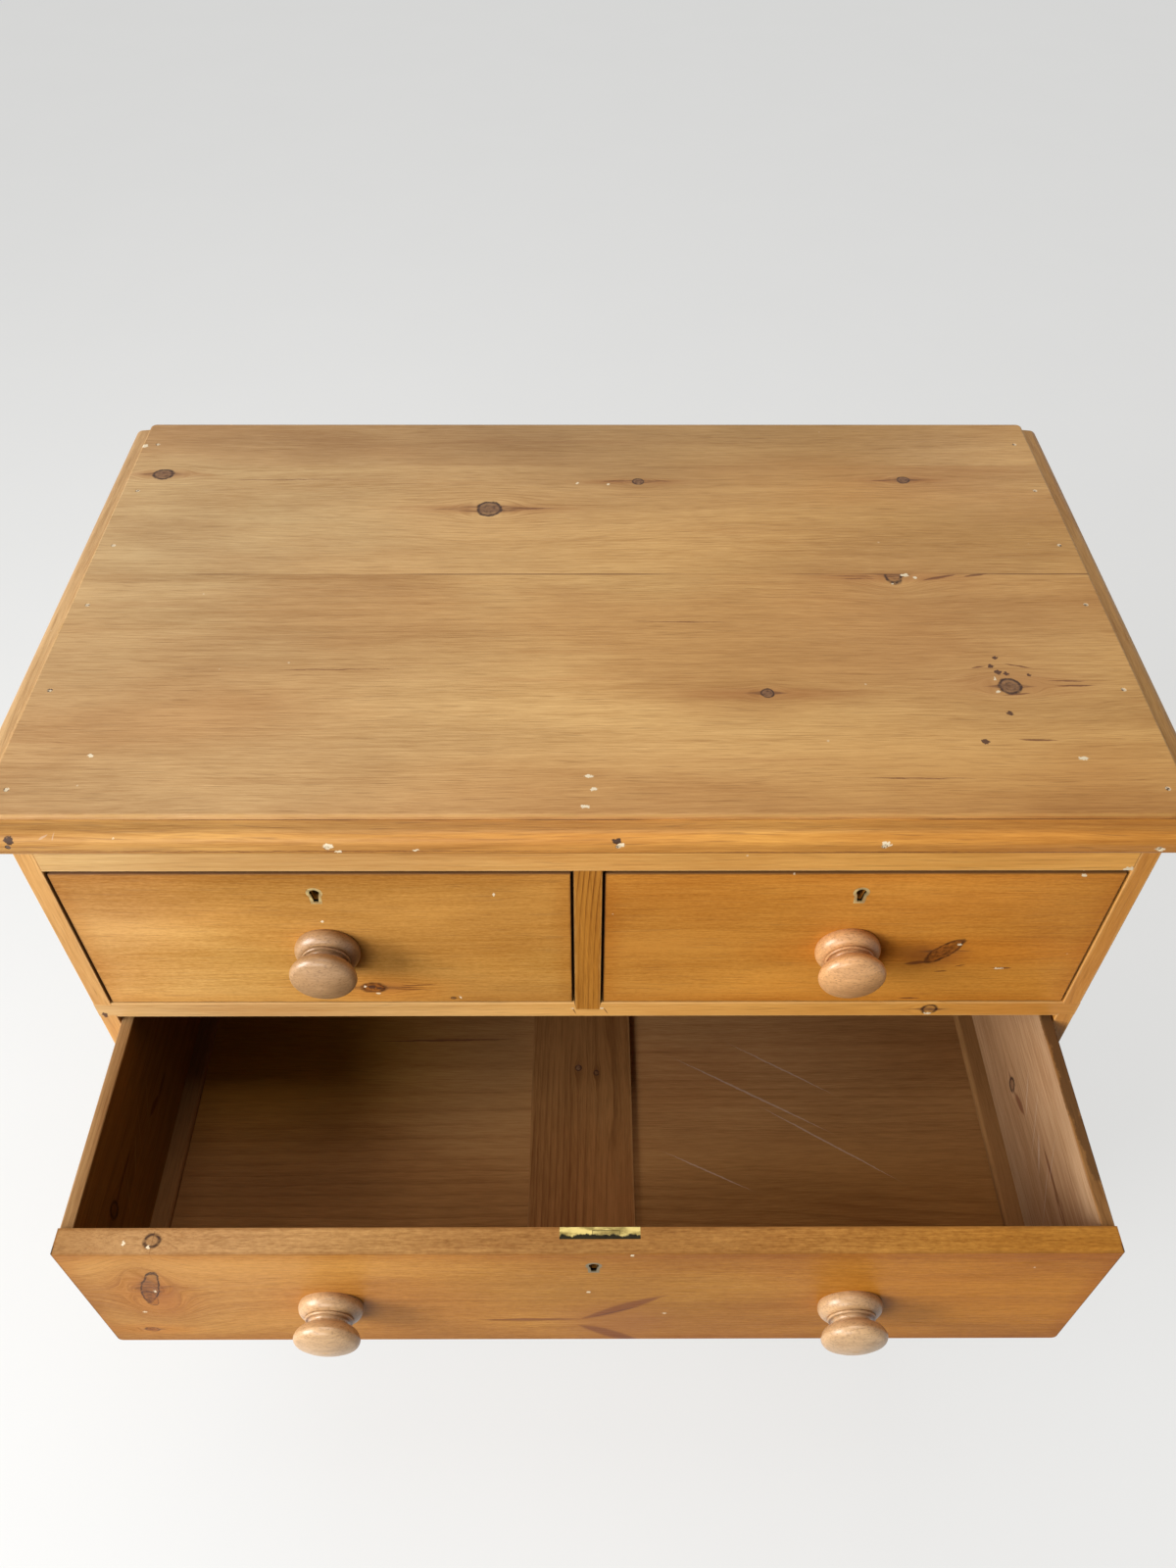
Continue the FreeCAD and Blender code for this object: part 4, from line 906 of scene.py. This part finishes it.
# dirt with painted shade in the gaps beside and under the shut fronts
gapDirtShadeReach = {"side": 0.0012, "under": 0.001}
for drawer, flatMarks in frontMarks.items():
    low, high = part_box(drawer + "_front")
    halves = [("x", ((low + high) / 2).x)]
    marks = onFace(flatMarks, round(low.y, 4), True)
    marks.setdefault("crown", (high.z - crownDepth, *shutCrown))
    lockLow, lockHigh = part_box(drawer + "_lock")
    keyhole = ((lockLow.x + lockHigh.x) / 2, low.y + keyholeShade["in"], high.z - keyholeShade["drop"])
    marks["keyholeShade"] = [(keyhole, keyholeShade["size"])]
    frontPine = {**waxedFront, **frontToneAndLight.get(drawer, {})}
    dressPine(drawer + "_front", frontPine, "xzy", pith=(0, 0.04, 0.05), ringWidth=0.005, **marks,
              grimyFaces=[("x", low.x, gapDirtShadeReach["side"]), ("x", high.x, gapDirtShadeReach["side"]),
                          ("z", low.z, gapDirtShadeReach["under"])])
    dressPine(drawer + "_sides", bareInside, "yzx", splits=halves, **sideMarks.get(drawer, {}))
    dressPine(drawer + "_back", bareInside, "xzy")
    dressPine(drawer + "_bottom", barePanel, "xyz", splits=halves, pith=(0, 0.02, 0.05), ringWidth=0.011,
              **onFace(panelMarks.get(drawer, {}), panelFace, False))
    dressPine(drawer + "_slips", slipPine, "yxz", splits=halves)
    if drawer.startswith("long"):
        pair = [
            (low.y + 0.269, -0.0092, 0.0034, 0.0032, {"rim": 0.3}),
            (low.y + 0.263, 0.0096, 0.0028, 0.0026, {"fill": 0.3, "rim": 0.45}),
        ]
        dressPine(drawer + "_muntin", muntinPine, "yxz", pith=(0, 0.03, 0.04),
                  **onFace({"knots": pair}, 0, False))
print("drawers dressed,", boardCount, "pine pieces")


# turned beech: each drawer's knobs have their own tone
beech = {
    "shadow": (0.6, 0.56, 0.5), "fleck": (0.36, 0.32, 0.28), "flecks": 0.55, "depth": 0.42, "grain": 1.3,
    "rough": 0.36, "shine": 0.2, "coat": 0.12, "coatRough": 0.25, "bumps": (0.08, 0.0008),
}
knobTone = {
    "short_left": (0.48, 0.284, 0.138), "short_right": (0.72, 0.39, 0.168), "long_top": (0.62, 0.39, 0.2),
    "long_middle": (0.62, 0.37, 0.175), "long_bottom": (0.66, 0.39, 0.18),
}


def beechMaterial(name, tone):
    mat = startMaterial(name)
    spot = here()
    line = noise(spot, (32, 420, 420), 3, 0.6)
    fleck = fade(noise(spot, (330, 900, 900), 2, 0.5), 0.5, 0.7)
    depth = sway(noise(spot, (14, 45, 45), 3, 0.55), beech["grain"], beech["depth"])
    depth = sway(line, beech["grain"], depth, clamp=True)
    deep = [part * share for part, share in zip(tone, beech["shadow"])]
    dark = [part * share for part, share in zip(tone, beech["fleck"])]
    colour = twoTones(depth, tone, deep)
    colour = tinge(times(fleck, beech["flecks"]), colour, dark)
    shine = sway(line, beech["shine"], beech["rough"])
    surface(colour, shine, line, beech["bumps"],
            {"Coat Weight": beech["coat"], "Coat Roughness": beech["coatRough"]})
    return mat


# old lock brass, black along the plate's front edge, and the bolt's duller brass
brass = {
    "bright": (0.44, 0.35, 0.125), "dull": (0.26, 0.2, 0.066), "black": (0.018, 0.015, 0.009),
    "rim": (0.78, 0.64, 0.31), "rough": 0.4,
}
rimTone = {"long_top": (0.24, 0.19, 0.105)}  # this keyhole's rim has gone dark
boltMetal = {
    "bright": (0.4, 0.32, 0.12), "dull": (0.25, 0.19, 0.065), "black": (0.04, 0.032, 0.02),
    "rim": (0.4, 0.32, 0.12), "rough": 0.45,
}
metalWays = {
    "tarnishEnd": (0.42, 0.66), "edgeRagged": 0.009, "edgeEnd": (0.0044, 0.0026), "shine": 0.2,
    "bumps": (0.1, 0.0004),
}


def metalMaterial(name, look, edge, mouth, level):
    mat = startMaterial(name)
    spot = here()
    axes = split(spot)
    tarnish = fade(noise(spot, (90, 200, 200), 4, 0.6), *metalWays["tarnishEnd"])
    scratch = noise(spot, (60, 2600, 2600), 2, 0.5)
    colour = twoTones(tarnish, look["bright"], look["dull"])
    ragged = noise(spot, (130, 60, 60), 3, 0.6)
    dark = fade(sway(ragged, metalWays["edgeRagged"], off(axes[1], edge)), *metalWays["edgeEnd"])
    # the keyhole is painted black within its rim, as painted shade
    inside = times(calc("GREATER_THAN", axes[1], mouth), calc("LESS_THAN", axes[2], level))
    colour = tinge(calc("MAXIMUM", dark, inside), colour, look["black"])
    colour = tinge(calc("LESS_THAN", axes[1], mouth), colour, look["rim"])
    shine = plus(look["rough"], tarnish, metalWays["shine"])
    shine = sway(scratch, metalWays["shine"], shine, clamp=True)
    surface(colour, shine, scratch, metalWays["bumps"], {"Metallic": 1})
    return mat


# nail heads lie under old cream filler, some of it gone, and the one at the moulding's left end is bare
nailFill = {
    "cream": (0.66, 0.53, 0.35), "rust": (0.1, 0.055, 0.03), "bareLeft": -0.42, "bareFront": -0.16,
    "goneEnd": (0.5, 0.6), "rough": 0.6, "grit": 0.2, "bumps": (0.3, 0.0003),
}


def nailMaterial():
    mat = startMaterial("filledNail")
    spot = here()
    axes = split(spot)
    gone = fade(noise(spot, (330, 330, 330), 3, 0.6), *nailFill["goneEnd"])
    left = calc("LESS_THAN", axes[0], nailFill["bareLeft"])
    bare = times(left, calc("LESS_THAN", axes[1], nailFill["bareFront"]))
    colour = twoTones(calc("MAXIMUM", gone, bare), nailFill["cream"], nailFill["rust"])
    grit = noise(spot, (1800, 1800, 1800), 2, 0.5)
    rough = plus(nailFill["rough"], grit, nailFill["grit"])
    surface(colour, rough, grit, nailFill["bumps"])
    return mat


plate = {"edge": 0.01, "mouth": 0.0012, "level": 0.004}  # from the lock's back, front and top
belowAll = -1  # no part of a bolt lies inside a keyhole
for drawer, tone in knobTone.items():
    dress(drawer + "_knobs", beechMaterial(drawer + "Beech", tone))
    low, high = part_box(drawer + "_lock")
    edge, mouth = high.y - plate["edge"], low.y + plate["mouth"]
    lockLook = {**brass, "rim": rimTone.get(drawer, brass["rim"])}
    dress(drawer + "_lock", metalMaterial(drawer + "Brass", lockLook, edge, mouth, high.z - plate["level"]))
    dress(drawer + "_lock_bolt", metalMaterial(drawer + "Bolt", boltMetal, edge, mouth, belowAll))
dress("nails", nailMaterial())
print("knobs, locks and nails dressed")


# floor, light and camera
floorLook = {
    "size": 14, "colour": (0.8, 0.8, 0.79), "cloud": 0.98, "glow": 1.14, "glowShare": 0.7,
    "bounce": (0.24, 0.24, 0.24, 1),
}


# what the camera sees directly, in shine or through something
def seenRay():
    rays = put("LightPath").outputs
    seen = calc("MAXIMUM", rays["Is Camera Ray"], rays["Is Glossy Ray"])
    return calc("MAXIMUM", seen, rays["Is Transmission Ray"])


def makeFloor():
    mesh = bpy.data.meshes.new("floor")
    half = floorLook["size"]
    corners = [(-half, -half, 0), (half, -half, 0), (half, half, 0), (-half, half, 0)]
    mesh.from_pydata(corners, [], [(0, 1, 2, 3)])
    floor = bpy.data.objects.new("floor", mesh)
    studio.collection.objects.link(floor)
    mat = startMaterial("paleFloor")
    cloud = noise(here(), (3, 3, 3), 4, 0.6)
    pale = floorLook["colour"]
    tone = twoTones(cloud, pale, [part * floorLook["cloud"] for part in pale])
    lit = put("BsdfDiffuse", {"Color": tone}).outputs[0]
    glow = put("Emission", {"Color": tone, "Strength": floorLook["glow"]}).outputs[0]
    shown = put("MixShader", {0: floorLook["glowShare"], 1: lit, 2: glow}).outputs[0]
    bounced = put("BsdfDiffuse", {"Color": floorLook["bounce"]}).outputs[0]
    both = put("MixShader", {0: seenRay(), 1: bounced, 2: shown}).outputs[0]
    put("OutputMaterial", {0: both})
    mesh.materials.append(mat)


def addLamp(name, look):
    lamp = bpy.data.lights.new(name, "AREA")
    lamp.shape = "RECTANGLE"
    lamp.size, lamp.size_y = look["size"]
    lamp.energy = look["watts"]
    lamp.color = look["colour"]
    lamp.spread = math.radians(look.get("spread", 180))
    piece = bpy.data.objects.new(name, lamp)
    studio.collection.objects.link(piece)
    piece.location = look["at"]
    piece.visible_glossy = look.get("shine", True)
    aim = [look["towards"][i] - look["at"][i] for i in range(3)]
    flat = math.hypot(aim[0], aim[1])
    piece.rotation_euler = (math.atan2(flat, -aim[2]), 0, math.atan2(aim[1], aim[0]) - math.pi / 2)


lamps = {
    "windowLight": {
        "at": (-2.6, -1.4, 1.9), "towards": (0, -0.15, 0.8), "size": (1.6, 1.6), "watts": 132,
        "colour": (0.97, 0.985, 1),
    },
    "frontLight": {
        "at": (-1, -3.2, 1.8), "towards": (0, -0.1, 0.8), "size": (1.6, 1.4), "watts": 52,
        "colour": (1, 0.96, 0.9),
    },
    "ceilingLight": {
        "at": (-0.2, 0.05, 3.4), "towards": (0, 0.05, 1), "size": (1.6, 1.8), "watts": 34,
        "colour": (1, 0.98, 0.96),
    },
    # low, narrow and without shine, so that it lights only the back
    "backLight": {
        "at": (0, 2.9, 0.32), "towards": (0, 0.4, 1.02), "size": (0.7, 0.3), "watts": 9,
        "colour": (1, 0.98, 0.95), "spread": 44, "shine": False,
    },
}
makeFloor()
for lampName, lampLook in lamps.items():
    addLamp(lampName, lampLook)

surround = {"colour": (0.82, 0.83, 0.84, 1), "strength": 0.14, "seen": 0.95}
world = bpy.data.worlds.new("surround")
studio.world = world
world.use_nodes = True
bench = world.node_tree
background = bench.nodes["Background"]
background.inputs[0].default_value = surround["colour"]
level = put("MapRange", {0: seenRay(), 3: surround["strength"], 4: surround["seen"]}).outputs[0]
feed(background.inputs[1], level)

# camera at standing height in front, looking down on the top
shot = {"at": (-0.0033, -0.7496, 1.7255), "turns": (42.938, -0.109, -0.171), "lens": 27.9}
lensData = bpy.data.cameras.new("camera")
lensData.lens = shot["lens"]
camera = bpy.data.objects.new("camera", lensData)
studio.collection.objects.link(camera)
camera.location = shot["at"]
camera.rotation_euler = [math.radians(turn) for turn in shot["turns"]]
studio.camera = camera
studio.view_settings.view_transform = "Standard"
print("floor, lamps and camera ready")
